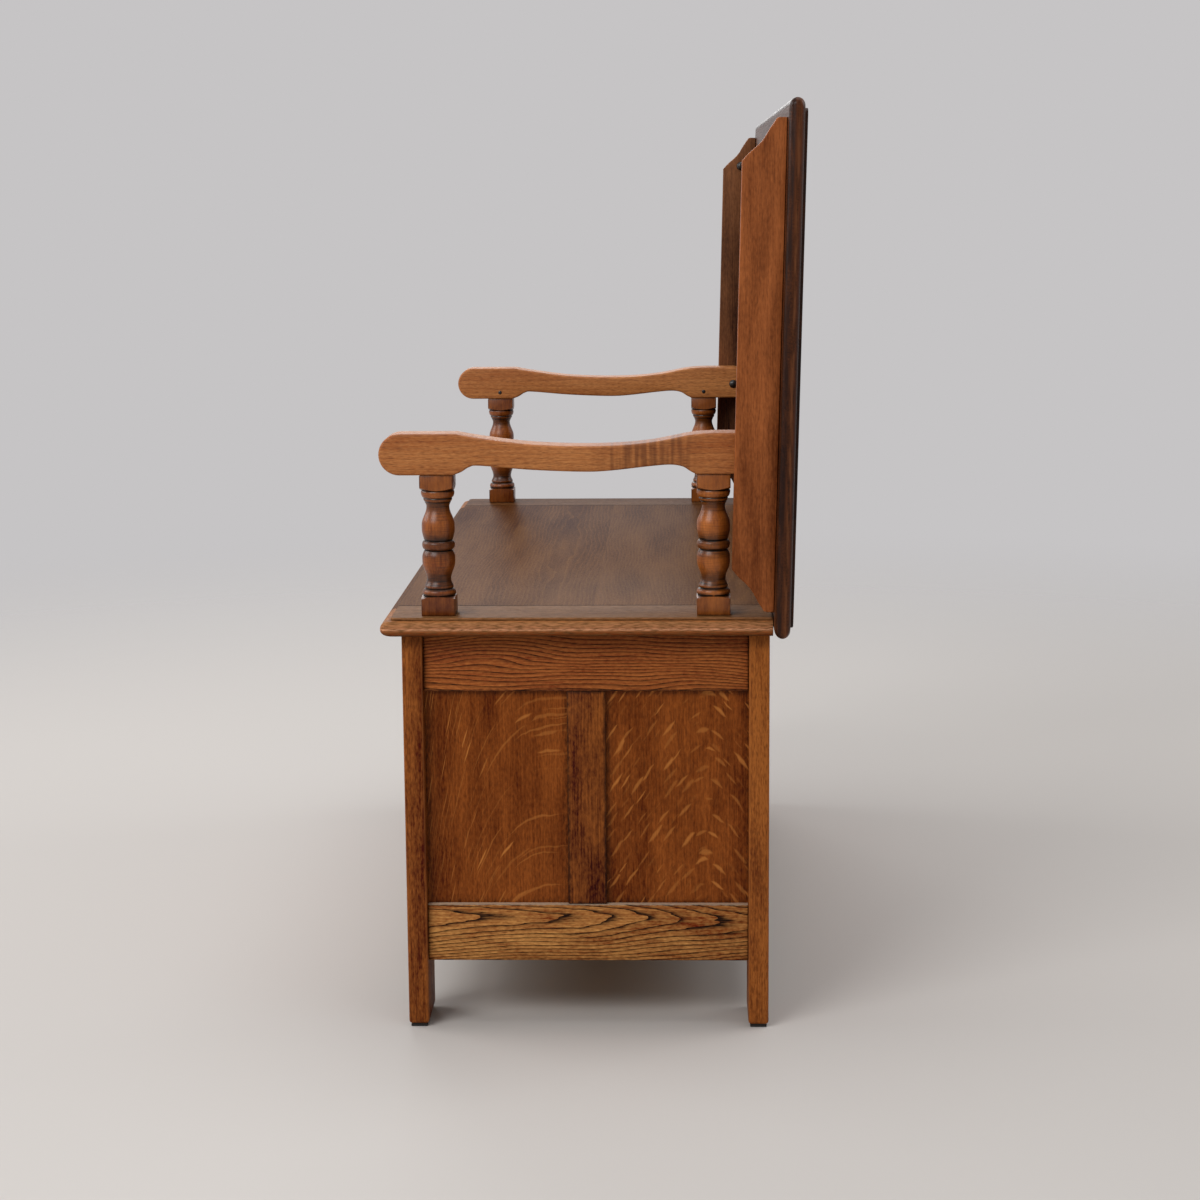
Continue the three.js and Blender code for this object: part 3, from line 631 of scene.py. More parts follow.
# For the chevrons (1) and the arcs (0): the cell's height and length, half the stroke's width and
# length, all in mm, the share of cells that hold a stroke, and how bright the strokes are
FLECKS = (
    (1, 19, 19, 4.0, 8.5, 0.75, 0.62), (1, 13, 14, 3.0, 6, 0.3, 0.18),
    (0, 11, 95, 2.2, 50, 0.46, 0.32), (0, 22, 46, 3.0, 18, 0.36, 0.75),
)
end_panel_oak = quarter_sawn("quarter-sawn oak, end panels", "ZYX", "#6b3006", "#8f4a18", "#c97f3c")
long_panel_oak = quarter_sawn("quarter-sawn oak, long panels", "ZXY", "#6b3006", "#8f4a18", "#c97f3c")
for node, across, mirrored, shape, middle in (
    ("end_panel_front_right", 1, False, "arc", 1.0),
    ("end_panel_back_right", 1, False, "chevron", 0.69),
    ("end_panel_front_left", 1, False, "chevron", 0.35),
    ("end_panel_back_left", 1, True, "arc", 0.9),
    ("front_panel_left", 0, False, "arc", 0.8),
    ("front_panel_middle", 0, False, "chevron", 0.5),
    ("front_panel_right", 0, True, "arc", 0.85),
    ("back_panel_left", 0, False, "chevron", 0.6),
    ("back_panel_right", 0, True, "chevron", 0.7),
):
    panel = flecked_panel(node, across, mirrored, shape, middle)
    fit(panel, end_panel_oak if across else long_panel_oak, "panel_oak", node)


# Chest floor. One thin board lies on two cleats screwed to the long rails. The inside was left
# bare, so it is drier and yellower than the outside.
inside_oak = oak(
    "bare dry oak inside", "XYZ", "#5b3c1f", "#a07a4c", "#bb9666", ring=5, lines=0.5, pores=0.4,
    rough=0.7, rim="#6b4a29", rim_reach=6, rim_share=0.4, plank=118,
)
for node, width in (("bottom_board", 1.2), ("cleat_front", 1.5), ("cleat_back", 1.5)):
    squared(node, inside_oak, "inside_oak", width=width)


# Glides. Thin pads of dark felt are stuck under the posts and have taken the feet's outline.
felt, tree, shader = new_material("pressed wool felt")
wool = add(tree, "ShaderNodeTexNoise", {
    "Vector": add(tree, "ShaderNodeTexCoord").outputs["Object"], "Scale": 1 / (0.9 * MM), "Detail": 3,
})
wool = add(tree, "ShaderNodeMapRange", {
    "Value": wool.outputs["Fac"], "From Min": 0.3, "From Max": 0.7,
})
wool = add(tree, "ShaderNodeMix", {
    0: wool.outputs[0], 6: linear("#12100e"), 7: linear("#2b2723"),
}, data_type="RGBA")
tree.links.new(wool.outputs[2], shader.inputs["Base Color"])
shader.inputs["Roughness"].default_value = 0.95
for row, end in CORNERS:
    squared(f"glide_{row}_{end}", felt, "glide_felt", label="felt")


# Seat. One wide board with a thumbnail moulding, worked before it was sawn into two end strips,
# a back strip and the lid. The top is rubbed to a satin shine that greys with the room's light.
MOULDING_STEP = 3 * MM
MOULDING_WIDTH = 10.5 * MM
MOULDING_ARC = 14
CORNER_RADIUS = 7 * MM
CORNER_ARC = 6
FIELD_EASE = 1 * MM
QUIRK = 0.4 * MM


def face_outwards():
    """Turns all faces outwards and leaves edit mode."""
    bpy.ops.mesh.select_all(action="SELECT")
    bpy.ops.mesh.normals_make_consistent(inside=False)
    bpy.ops.object.mode_set(mode="OBJECT")


def arc(centre, radii, start, end, steps):
    """Points on an arc of a circle or an ellipse, from one angle to another."""
    turns = [start + (end - start) * step / steps for step in range(steps + 1)]
    return [
        (centre[0] + radii[0] * math.cos(turn), centre[1] + radii[1] * math.sin(turn)) for turn in turns
    ]


def moulded_board(name, low, high):
    """A flat board, its rounded nose drawn up from the underside ring by ring."""
    low, high = Vector(low), Vector(high)
    centre = (low + high) / 2
    size = high - low
    nose = (size.z - MOULDING_STEP) / 2
    profile = arc((nose, nose), (-nose, nose), -math.pi / 2, math.pi / 2, MOULDING_ARC) + [
        (MOULDING_WIDTH - 0.8 * MM, 2 * nose - QUIRK), (MOULDING_WIDTH, 2 * nose + GAP / 10),
        (MOULDING_WIDTH, size.z - FIELD_EASE),
        (MOULDING_WIDTH + 0.3 * FIELD_EASE, size.z - 0.3 * FIELD_EASE),
        (MOULDING_WIDTH + FIELD_EASE, size.z),
    ]
    bpy.ops.object.select_all(action="DESELECT")
    bpy.ops.mesh.primitive_plane_add(size=1, location=(centre.x, centre.y, low.z))
    board = bpy.context.object
    board.name = name
    inset, level = profile[0]
    board.scale = (size.x - 2 * inset, size.y - 2 * inset, 1)
    bpy.ops.object.transform_apply()
    bpy.ops.object.mode_set(mode="EDIT")
    bpy.ops.mesh.select_all(action="SELECT")
    bpy.ops.mesh.bevel(offset=CORNER_RADIUS, segments=CORNER_ARC, affect="VERTICES")
    for next_inset, next_level in profile[1:]:
        bpy.ops.mesh.extrude_region_move(
            TRANSFORM_OT_translate={"value": (0, 0, next_level - level)}
        )
        bpy.ops.transform.resize(value=(
            (size.x - 2 * next_inset) / (size.x - 2 * inset),
            (size.y - 2 * next_inset) / (size.y - 2 * inset), 1,
        ), center_override=(centre.x, centre.y, low.z + next_level))
        inset, level = next_inset, next_level
    face_outwards()
    values = []
    for vertex in board.data.vertices:
        up = vertex.co.z - low.z
        if up > 2 * nose + GAP / 20:
            values.append(0.75 + 0.25 * (up - 2 * nose) / MOULDING_STEP)
        elif abs(up - 2 * nose + QUIRK) < GAP / 10:
            values.append(0.62)
        else:
            values.append(0.5 * (math.asin(max(-1, min(1, up / nose - 1))) / math.pi + 0.5))
    mark(board, "moulding", values)
    return board


def paint_moulding_wear_and_light(material, stretch, wear_and_light):
    """Colours a moulding by the place along its profile, from the underside (0) round the nose
    (0 to 0.5) and over the step's foot (0.75) to the field (1). The colours are rubbed wear together
    with painted highlights and painted reflections on the nose and step, and painted shade beneath
    the nose and at the step's foot. The third argument gives places, colours and their shares, and
    stretch the size in mm of the patches in which they come and go. Sawn faces keep the plain
    colour of the wood."""
    tree = material.node_tree
    profile = add(tree, "ShaderNodeAttribute", attribute_name="moulding").outputs["Fac"]
    ramp = add(tree, "ShaderNodeValToRGB", {0: profile}, [
        (place, (*linear(colour)[:3], share)) for place, colour, share in wear_and_light
    ])
    patchy = add(tree, "ShaderNodeTexNoise", {
        "Vector": add(tree, "ShaderNodeVectorMath", {
            0: add(tree, "ShaderNodeTexCoord").outputs["Object"],
            1: tuple(1 / (length * MM) for length in stretch),
        }, operation="MULTIPLY").outputs[0], "Scale": 1, "Detail": 4,
    })
    patchy = add(tree, "ShaderNodeMapRange", {
        "Value": patchy.outputs["Fac"], "From Min": 0.4, "From Max": 0.58, "To Min": 0.15,
    })
    share = add(tree, "ShaderNodeMath", {
        0: ramp.outputs["Alpha"], 1: patchy.outputs[0],
    }, operation="MULTIPLY")
    uncut = add(tree, "ShaderNodeMath", {
        0: 1.0, 1: add(tree, "ShaderNodeAttribute", attribute_name="sawn").outputs["Fac"],
    }, operation="SUBTRACT")
    share = add(tree, "ShaderNodeMath", {
        0: share.outputs[0], 1: uncut.outputs[0],
    }, operation="MULTIPLY")
    stain(material, share, ramp.outputs["Color"])


def saw(piece, place, normal):
    """Saws a piece at a plane and keeps what lies behind it."""
    edit(piece, "FACE", lambda corners: True)
    bpy.ops.mesh.bisect(plane_co=place, plane_no=normal, use_fill=True, clear_outer=True)
    bpy.ops.object.mode_set(mode="OBJECT")


def copy_of(piece, name):
    made = piece.copy()
    made.data = piece.data.copy()
    made.name = name
    bpy.context.collection.objects.link(made)
    return made


strip_boxes = [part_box(f"seat_strip_{end}") for end in ENDS]
seat_low, seat_high = strip_boxes[0][0], strip_boxes[1][1]
uncut_depth = 3 * MOULDING_WIDTH
seat_blank = moulded_board(
    "seat blank", seat_low, (seat_high.x, seat_high.y + uncut_depth, seat_high.z),
)
seat_oak = {
    cut: oak(
        f"satin seat oak, {cut}", along, "#261004", "#533118", "#76502f", ring=4.2, lines=0.1,
        glow=0.7, pores=pores, streaks=2.5 * pores, patches=0.7, clouds=0.15, rough=0.38, shine=shine,
        rim="#170b05", rim_reach=3, rim_share=0.8, plank=plank, pith=(8, 12), wander=34,
    ) for cut, along, plank, shine, pores in (
        ("lid", "XYZ", 126, 0.008, 0.2), ("strip", "YXZ", 0, 0.015, 0.45),
    )
}
# The lid's nose: rubbed wear with a dim painted highlight round its top and painted shade beneath it and
# at the step's foot, all darker than on the strips, as the lid's front is seen from above.
paint_moulding_wear_and_light(seat_oak["lid"], (9, 1.5, 0.8), (
    (0.0, "#170904", 0.0), (0.05, "#170904", 0.9), (0.15, "#341a0d", 0.85), (0.25, "#4f301f", 0.85),
    (0.31, "#6b4a38", 0.9), (0.37, "#5a3a28", 0.85), (0.5, "#4d2d18", 0.8), (0.69, "#442712", 0.75),
    (0.74, "#170b05", 0.9), (0.8, "#2e170a", 0.6), (0.95, "#80532f", 0.7), (1.0, "#80532f", 0.0),
))
# The strips' nose: rubbed wear with a bright painted highlight along its upper round, and painted shade
# beneath it and at the step's foot.
paint_moulding_wear_and_light(seat_oak["strip"], (1.5, 9, 0.8), (
    (0.0, "#170904", 0.0), (0.05, "#1c0b04", 0.9), (0.15, "#86401a", 0.9), (0.2, "#9d582d", 0.85),
    (0.225, "#b4734c", 0.9), (0.25, "#eaa87e", 0.9), (0.285, "#b97a53", 0.85), (0.4, "#b27b50", 0.85),
    (0.46, "#b87440", 0.85), (0.69, "#935529", 0.75), (0.74, "#1f1008", 0.85), (0.8, "#4a2813", 0.55),
    (0.95, "#b57d54", 0.7), (1.0, "#b57d54", 0.0),
))
for node, wood in (
    ("seat_strip_left", "strip"), ("seat_strip_right", "strip"), ("seat_strip_back", "lid"),
    ("lid", "lid"),
):
    low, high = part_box(node)
    board = copy_of(seat_blank, f"oak_{node}")
    cuts = []
    for place, normal in (
        (low, (-1, 0, 0)), (low, (0, -1, 0)), (high, (1, 0, 0)), (high, (0, 1, 0)),
    ):
        axis = 0 if normal[0] else 1
        if seat_low[axis] + MM < place[axis] < seat_high[axis] + MM * (axis == 1):
            saw(board, place, normal)
            cuts.append((Vector(place), Vector(normal)))
    ease(board, 0.35 * MM, 1)
    mark(board, "sawn", [
        any(
            face.normal.dot(normal) > 0.5 and (face.center - place).dot(normal) > -MM
            for place, normal in cuts
        ) for face in board.data.polygons
    ], domain="FACE")
    tone = {"seat_strip_left": -0.3, "seat_strip_right": 0.4, "lid": (-0.5, 0.1)}.get(node, 0.0)
    fit(board, seat_oak[wood], "seat_oak", node, body="lid" if node == "lid" else "bench", tone=tone)
bpy.data.objects.remove(seat_blank)


# Butt hinges. Two cast brass butts are let into the sawn edges of the lid and the back strip, so
# that only their knuckles show on the seat. Each leaf is held by three countersunk screws.
KNUCKLE_RADIUS = 3 * MM
KNUCKLES = 3
SCREW_RADIUS = 2.7 * MM
SCREW_PROUD = 0.15 * MM
SLOT_WIDTH = 0.7 * MM


def rod(name, start, end, radius, sides=32, bevel=0):
    """A round bar from one point to another, its ends eased."""
    start, end = Vector(start), Vector(end)
    bpy.ops.object.select_all(action="DESELECT")
    bpy.ops.mesh.primitive_cylinder_add(
        vertices=sides, radius=radius, depth=(end - start).length, location=(start + end) / 2,
        rotation=(end - start).to_track_quat("Z", "Y").to_euler(),
    )
    made = bpy.context.object
    made.name = name
    bpy.ops.object.transform_apply()
    if bevel:
        ease(made, bevel)
    return made


def joined(name, pieces):
    select(*pieces)
    bpy.ops.object.join()
    pieces[0].name = name
    return pieces[0]


def cut_with(piece, tool):
    """Cuts one piece's shape out of another."""
    finish_with(piece, "BOOLEAN", object=tool, operation="DIFFERENCE", solver="EXACT")
    bpy.data.objects.remove(tool)


brass, tree, shader = new_material("aged cast brass")
place = add(tree, "ShaderNodeTexCoord").outputs["Object"]
tarnish = add(tree, "ShaderNodeTexNoise", {"Vector": place, "Scale": 1 / (7 * MM), "Detail": 4})
tarnish = add(tree, "ShaderNodeMapRange", {
    "Value": tarnish.outputs["Fac"], "From Min": 0.35, "From Max": 0.68,
})
skin = add(tree, "ShaderNodeMix", {
    0: tarnish.outputs[0], 6: linear("#8f7038"), 7: linear("#46351b"),
}, data_type="RGBA")
dull = add(tree, "ShaderNodeMapRange", {"Value": tarnish.outputs[0], "To Min": 0.3, "To Max": 0.55})
tree.links.new(skin.outputs[2], shader.inputs["Base Color"])
tree.links.new(dull.outputs[0], shader.inputs["Roughness"])
shader.inputs["Metallic"].default_value = 1

for end in ENDS:
    pin_low, pin_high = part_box(f"hinge_pin_{end}")
    line = (pin_low + pin_high) / 2
    knuckle = (pin_high.x - pin_low.x) / KNUCKLES
    for half, side, numbers in (("fixed", 1, (0, 2)), ("lid", -1, (1,))):
        node = f"hinge_leaf_{half}_{end}"
        leaf_low, leaf_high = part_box(node)
        face = line.y + side * 0.5 * MM
        plate_top = line.z - KNUCKLE_RADIUS - 2 * GAP
        outer = leaf_high.y if side > 0 else leaf_low.y
        y_low, y_high = sorted((face, face + side * 2 * MM))
        plate = block("plate", (leaf_low.x, y_low, leaf_low.z), (leaf_high.x, y_high, plate_top))
        ease(plate, 0.3 * MM, 1)
        body = "lid" if half == "lid" else "bench"
        parts = [plate]
        for number in numbers:
            start = pin_low.x + number * knuckle + GAP / 2
            end_x = start + knuckle - GAP
            parts.append(rod(
                "knuckle", (start, line.y, line.z), (end_x, line.y, line.z), KNUCKLE_RADIUS,
                bevel=0.25 * MM,
            ))
            parts.append(block(
                "web", (start, y_low, plate_top - MM), (end_x, y_high, line.z - 0.6 * KNUCKLE_RADIUS),
            ))
        fit(joined(f"brass_{node}", parts), brass, "hinge_brass", node, body=body)
        screws = []
        for share in (-0.34, 0, 0.34):
            x = line.x + share * (leaf_high.x - leaf_low.x)
            z = (leaf_low.z + plate_top) / 2 + (0.12 if share else -0.12) * (plate_top - leaf_low.z)
            head = rod(
                "screw", (x, face + side * MM, z), (x, face - side * SCREW_PROUD, z), SCREW_RADIUS,
                bevel=0.1 * MM,
            )
            slot = block(
                "slot", (x - SCREW_RADIUS - MM, face - MM, z - SLOT_WIDTH / 2),
                (x + SCREW_RADIUS + MM, face + MM, z + SLOT_WIDTH / 2),
            )
            slot.data.transform(Matrix.Translation((0, side * 0.6 * MM, 0)))
            cut_with(head, slot)
            screws.append(head)
        fit(joined(f"brass_screws_{half}_{end}", screws), brass, "hinge_brass", body=body)
    pin = rod(
        f"brass_hinge_pin_{end}", (pin_low.x, line.y, line.z), (pin_high.x, line.y, line.z),
        1.5 * MM, bevel=0.4 * MM,
    )
    fit(pin, brass, "hinge_brass", f"hinge_pin_{end}")


# Balusters. Each is turned from a square bar, so its blocks end in shoulders that the turning has
# cut off round their corners. Dark stain and old polish fill the hollows and are worn off the swells.
BLOCK_CUT_RADIUS = 27 * MM
BALUSTER_ARC = 7
BALUSTER_SIDES = 56
GOUGE_SHARE = 0.4
FACE_SHARE = 0.28  # how dark the polish is on the blocks' faces
FACE_REACH = 0.497  # of the block's width, from its middle to what counts as its face
# From the foot up: height and radius in mm, and whether the stretch up to there is straight,
# an S-curve or a bead that swells out by the last number
BALUSTER_TURNINGS = (
    (18.2, 27.0, "straight", 0), (20.6, 17.9, "straight", 0), (21.0, 17.0, "straight", 0),
    (27.6, 15.9, "bead", 1.5), (28.3, 14.9, "straight", 0), (31.6, 15.3, "bead", 0.4),
    (38.2, 13.0, "round in", 0), (57.0, 17.8, "curve", 0), (62.0, 17.8, "straight", 0),
    (69.5, 15.5, "round", 0), (70.1, 14.6, "straight", 0), (80.4, 15.0, "bead", 2.9),
    (81.2, 15.5, "straight", 0), (93.5, 17.8, "round in", 0), (97.0, 17.8, "straight", 0),
    (116.8, 12.3, "curve", 0), (121.6, 14.0, "round", 0), (122.0, 13.7, "straight", 0),
    (125.6, 15.4, "bead", 0.6), (126.2, 15.2, "straight", 0), (134.6, 16.9, "bead", 1.75),
    (135.2, 17.9, "straight", 0), (139.4, 27.0, "straight", 0),
)
# Heights of the grooves and necks, how far the dark reaches above and below, and how dark it is
BALUSTER_HOLLOWS = (
    (21.0, 2.4, 0.95), (28.3, 1.9, 0.95), (32.8, 1.6, 0.8), (38, 9, 0.7), (69.9, 1.5, 1.0),
    (69.5, 7, 0.6), (80.8, 1.5, 1.0), (81, 8, 0.65), (118, 7.5, 0.6), (121.9, 1.3, 0.9),
    (126.0, 1.3, 0.95), (135.2, 2.0, 0.95),
)


def draw(name, points):
    """Draws a line through points, from a plane that is merged to its middle and then drawn out.
    It stays open in edit mode, all selected."""
    bpy.ops.object.select_all(action="DESELECT")
    bpy.ops.mesh.primitive_plane_add(size=MM, location=points[0])
    made = bpy.context.object
    made.name = name
    bpy.ops.object.transform_apply()
    bpy.ops.object.mode_set(mode="EDIT")
    bpy.ops.mesh.select_mode(type="VERT")
    bpy.ops.mesh.merge(type="CENTER")
    for last, point in zip(points, points[1:]):
        bpy.ops.mesh.extrude_region_move(
            TRANSFORM_OT_translate={"value": Vector(point) - Vector(last)}
        )
    bpy.ops.mesh.select_all(action="SELECT")
    return made


def turned(name, outline, centre, sides, axis=(0, 0, 1)):
    """Turns an outline on a lathe, about an axis through a centre."""
    made = draw(name, outline)
    bpy.ops.mesh.spin(steps=sides, angle=2 * math.pi, center=centre, axis=axis)
    bpy.ops.mesh.select_all(action="SELECT")
    bpy.ops.mesh.remove_doubles(threshold=0.01 * MM)
    face_outwards()
    return made


def baluster_outline():
    """Points of the baluster's outline, as height and radius in mm."""
    height, radius = 0.0, BLOCK_CUT_RADIUS / MM
    points = [(0.0, 0.0), (height, radius)]
    for top, wide, kind, swell in BALUSTER_TURNINGS:
        steps = 1 if kind == "straight" else BALUSTER_ARC
        for step in range(1, steps + 1):
            share = step / steps
            bend = {
                "straight": share, "curve": (1 - math.cos(math.pi * share)) / 2, "bead": share,
                "round": 1 - math.cos(math.pi / 2 * share), "round in": math.sin(math.pi / 2 * share),
            }[kind]
            out = swell * math.sqrt(max(0, 1 - (2 * share - 1) ** 2)) if kind == "bead" else 0
            points.append((height + share * (top - height), radius + bend * (wide - radius) + out))
        height, radius = top, wide
    return points


turned_oak = oak(
    "dark turned oak", "ZYX", "#210e04", "#7a3a10", "#b8692a", ring=4, lines=0.15, pores=0.15,
    streaks=0.4, clouds=0.7, rough=0.34, shine=0.25, rim="#2a1206", rim_reach=2, rim_share=0.7,
)
tree = turned_oak.node_tree
shader = tree.nodes["Principled BSDF"]
hollow = add(tree, "ShaderNodeAttribute", attribute_name="hollow").outputs["Fac"]
# Fine lines round the turned parts, left by the gouge
gouge_lines = add(tree, "ShaderNodeTexNoise", {
    "Vector": add(tree, "ShaderNodeVectorMath", {
        0: add(tree, "ShaderNodeTexCoord").outputs["Object"],
        1: (1 / (25 * MM), 1 / (25 * MM), 1 / (0.9 * MM)),
    }, operation="MULTIPLY").outputs[0], "Scale": 1, "Detail": 2,
})
gouge_lines = add(tree, "ShaderNodeMapRange", {
    "Value": gouge_lines.outputs["Fac"], "From Min": 0.45, "From Max": 0.75,
})
gouge_lines = add(tree, "ShaderNodeMath", {
    0: gouge_lines.outputs[0],
    1: add(tree, "ShaderNodeAttribute", attribute_name="lathed").outputs["Fac"],
}, operation="MULTIPLY")
dark_share = add(tree, "ShaderNodeMath", {
    0: gouge_lines.outputs[0], 1: GOUGE_SHARE, 2: hollow,
}, operation="MULTIPLY_ADD")
stain(turned_oak, dark_share, linear("#120904"))
shader.inputs["Coat Weight"].default_value = 0.2
shader.inputs["Coat Roughness"].default_value = 0.3
arm_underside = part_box("arm_right")[0].z
for row, end in CORNERS:
    node = f"baluster_{row}_{end}"
    low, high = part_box(node)
    centre = (low + high) / 2
    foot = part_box("lid")[1].z
    outline = [
        (centre.x + radius * MM, centre.y, foot + height * MM)
        for height, radius in baluster_outline()
    ]
    top = arm_underside - GAP
    outline += [(centre.x + BLOCK_CUT_RADIUS, centre.y, top), (centre.x, centre.y, top)]
    stem = turned("turning", outline, centre, BALUSTER_SIDES)
    bar = block(f"turned_{node}", (low.x, low.y, foot + GAP), (high.x, high.y, top))
    ease(bar, 0.7 * MM)
    finish_with(bar, "BOOLEAN", object=stem, operation="INTERSECT", solver="EXACT")
    bpy.data.objects.remove(stem)
    hollow, lathed = [], []
    for vertex in bar.data.vertices:
        height = (vertex.co.z - foot) / MM
        outside = max(abs(vertex.co.x - centre.x), abs(vertex.co.y - centre.y))
        on_face = outside > FACE_REACH * (high.x - low.x)
        lathed.append(0 if on_face else 1)
        hollow.append(FACE_SHARE if on_face else max(
            share * math.exp(-((height - level) / reach) ** 2)
            for level, reach, share in BALUSTER_HOLLOWS
        ))
    mark(bar, "hollow", hollow)
    mark(bar, "lathed", lathed)
    fit(bar, turned_oak, "turned_oak", node, tone={"front": -0.1, "back": 0.15}[row])


# Arms. Sawn and spokeshaved from thick oak, with a blunt rounded nose, a dip along the top, a
# shallow arch beneath, and a rear end rounded about the pivot so that the table top clears it.
SIDES = (("left", -1), ("right", 1))
ARM_EASE = 2.6 * MM
ARM_HEIGHT = 44 * MM
ARM_NOSE = 22 * MM
ARM_DIP = 13.4 * MM
ARM_ARCH = 10.4 * MM
ARM_PAD = 3.6 * MM
PIVOT_REACH = 24 * MM
RIPPLE_PLACE = (0.488, 0.06, 0.628)
RIPPLE_REACH = 58 * MM
RIPPLE_STEP = 5.6 * MM
PEG_RADIUS = 4.5 * MM
# Share of the dip's length and of its depth, and the same for the arch from back to front
ARM_DIP_SHARES = (
    (0.0, 0.0), (0.09, 0.33), (0.27, 0.81), (0.46, 1.0), (0.63, 0.95), (0.77, 0.68), (0.91, 0.14),
    (1.0, 0.0),
)
ARM_ARCH_SHARES = (
    (1.0, 0.0), (0.974, 0.33), (0.943, 0.8), (0.893, 1.0), (0.808, 0.85), (0.646, 0.41),
    (0.53, 0.31), (0.318, 0.53), (0.114, 0.96), (0.07, 0.84), (0.035, 0.33), (0.0, 0.0),
)


def curve_through(points, steps):
    """A smooth curve through points, drawn in this many steps between each two."""
    made = [points[0]]
    for index in range(len(points) - 1):
        a, b = points[max(index - 1, 0)], points[index]
        c, d = points[index + 1], points[min(index + 2, len(points) - 1)]
        for step in range(1, steps + 1):
            t = step / steps
            made.append(tuple(
                0.5 * (
                    2 * q + (r - p) * t + (2 * p - 5 * q + 4 * r - s) * t ** 2
                    + (3 * q - p - 3 * r + s) * t ** 3
                ) for p, q, r, s in zip(a, b, c, d)
            ))
    return made


def sawn_board(name, outline, x_low, x_high, width):
    """A board sawn to an outline in Y and Z, with eased edges. outline runs round it once."""
    made = draw(name, [(x_low, y, z) for y, z in outline])
    bpy.ops.mesh.edge_face_add()
    bpy.ops.mesh.extrude_region_move(TRANSFORM_OT_translate={"value": (x_high - x_low, 0, 0)})
    face_outwards()
    round_edges(made, lambda ends: abs(ends[0].x - ends[1].x) < GAP, width, 4)
    return made


arm_oak = oak(
    "handled oak arms", "YZX", "#5a2a10", "#a25c29", "#c17d44", ring=4.5, lines=0.3, pores=0.5,
    streaks=0.7, rough=0.45, shine=0.28, pith=(90, 60), rim="#6b3a1a", rim_reach=1.6,
    rim_share=0.6,
)
# The right arm was cut near a branch: its fibres ripple, which shows as soft bars across them
tree = arm_oak.node_tree
spot = add(tree, "ShaderNodeVectorMath", {
    0: add(tree, "ShaderNodeTexCoord").outputs["Object"], 1: RIPPLE_PLACE,
}, operation="SUBTRACT").outputs[0]
near = add(tree, "ShaderNodeVectorMath", {
    0: spot, 1: (8, 1 / RIPPLE_REACH, 6),
}, operation="MULTIPLY").outputs[0]
near = add(tree, "ShaderNodeVectorMath", {0: near}, operation="LENGTH").outputs["Value"]
near = add(tree, "ShaderNodeMapRange", {
    "Value": near, "From Min": 1.1, "From Max": 0.5, "To Max": 0.62,
}, interpolation_type="SMOOTHSTEP")
bars = add(tree, "ShaderNodeTexNoise", {
    "Vector": add(tree, "ShaderNodeVectorMath", {
        0: spot, 1: (10, 1 / RIPPLE_STEP, 14),
    }, operation="MULTIPLY").outputs[0], "Scale": 1, "Detail": 1,
})
bars = add(tree, "ShaderNodeMapRange", {
    "Value": bars.outputs["Fac"], "From Min": 0.38, "From Max": 0.6, "To Min": 0.12,
})
bars = add(tree, "ShaderNodeMath", {0: bars.outputs[0], 1: near.outputs[0]}, operation="MULTIPLY")
stain(arm_oak, bars, linear("#5c2c10"))
pivot_low, pivot_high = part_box("pivot_peg_right")
pivot = (pivot_low + pivot_high) / 2
half_block = (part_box("baluster_front_right")[1].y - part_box("baluster_front_right")[0].y) / 2
for end, side in SIDES:
    low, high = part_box(f"arm_{end}")
    front, back = (
        (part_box(f"baluster_{row}_{end}")[0].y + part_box(f"baluster_{row}_{end}")[1].y) / 2
        for row in ROWS
    )
    arch_start, arch_end = front + half_block, back - half_block
    dip_start = arch_start + ARM_PAD
    outline = [(low.y + ARM_NOSE, high.z)]
    outline += curve_through([
        (dip_start + along * (back - dip_start), high.z - down * ARM_DIP)
        for along, down in ARM_DIP_SHARES
    ], 6)
    lowest = math.asin((low.z - pivot.z) / PIVOT_REACH)
    outline += arc((pivot.y, pivot.z), (PIVOT_REACH, PIVOT_REACH), math.pi / 2, lowest, 16)
    outline += curve_through([
        (arch_start + along * (arch_end - arch_start), low.z + up * ARM_ARCH)
        for along, up in ARM_ARCH_SHARES
    ], 5)
    nose = (low.y + ARM_NOSE, (low.z + high.z) / 2)
    outline += arc(nose, (ARM_NOSE, ARM_HEIGHT / 2), -math.pi / 2, -1.5 * math.pi, 20)
    arm = sawn_board(f"oak_arm_{end}", outline[:-1], low.x, high.x, ARM_EASE)
    hole = rod(
        "hole", (low.x - MM, pivot.y, pivot.z), (high.x + MM, pivot.y, pivot.z), PEG_RADIUS + GAP,
    )
    cut_with(arm, hole)
    fit(arm, arm_oak, "arm_oak", f"arm_{end}", tone={"left": 0.15, "right": 0.0}[end])


# Dowels and pegs. Bog-black turned pins: short dowels lock the balusters' tenons in the arms, and
# knob-headed pegs carry the table top. They are stained, polished and dark from handling.
KNOB_RADIUS = 6 * MM
KNOB_HEIGHT = 3.4 * MM
PEG_POINT = 0.8 * MM
PEG_ARC = 8
PEG_SIDES = 40
DOWEL_RADIUS = 2.8 * MM
DOWEL_CROWN = 0.5 * MM
black_wood = oak(
    "ebonised hardwood", "XYZ", "#050403", "#120d0a", "#221811", ring=3, lines=0.3, pores=0.3,
    rough=0.28, shine=0.5,
)


def peg(name, head, tip):
    """A peg along X, from the face that its knob rests on to its point."""
    head, tip = Vector(head), Vector(tip)
    way = (tip - head).normalized()
    length = (tip - head).length
    outline = arc((0, -GAP), (KNOB_RADIUS, KNOB_HEIGHT), -math.pi / 2, 0, PEG_ARC) + [
        (KNOB_RADIUS - 0.3 * MM, -GAP + 0.05 * MM), (PEG_RADIUS, -GAP + 0.05 * MM),
        (PEG_RADIUS, length - PEG_POINT), (PEG_RADIUS - PEG_POINT, length), (0, length),
    ]
    points = [head + way * along + Vector((0, 0, radius)) for radius, along in outline]
    return turned(name, points, head, PEG_SIDES, axis=way)


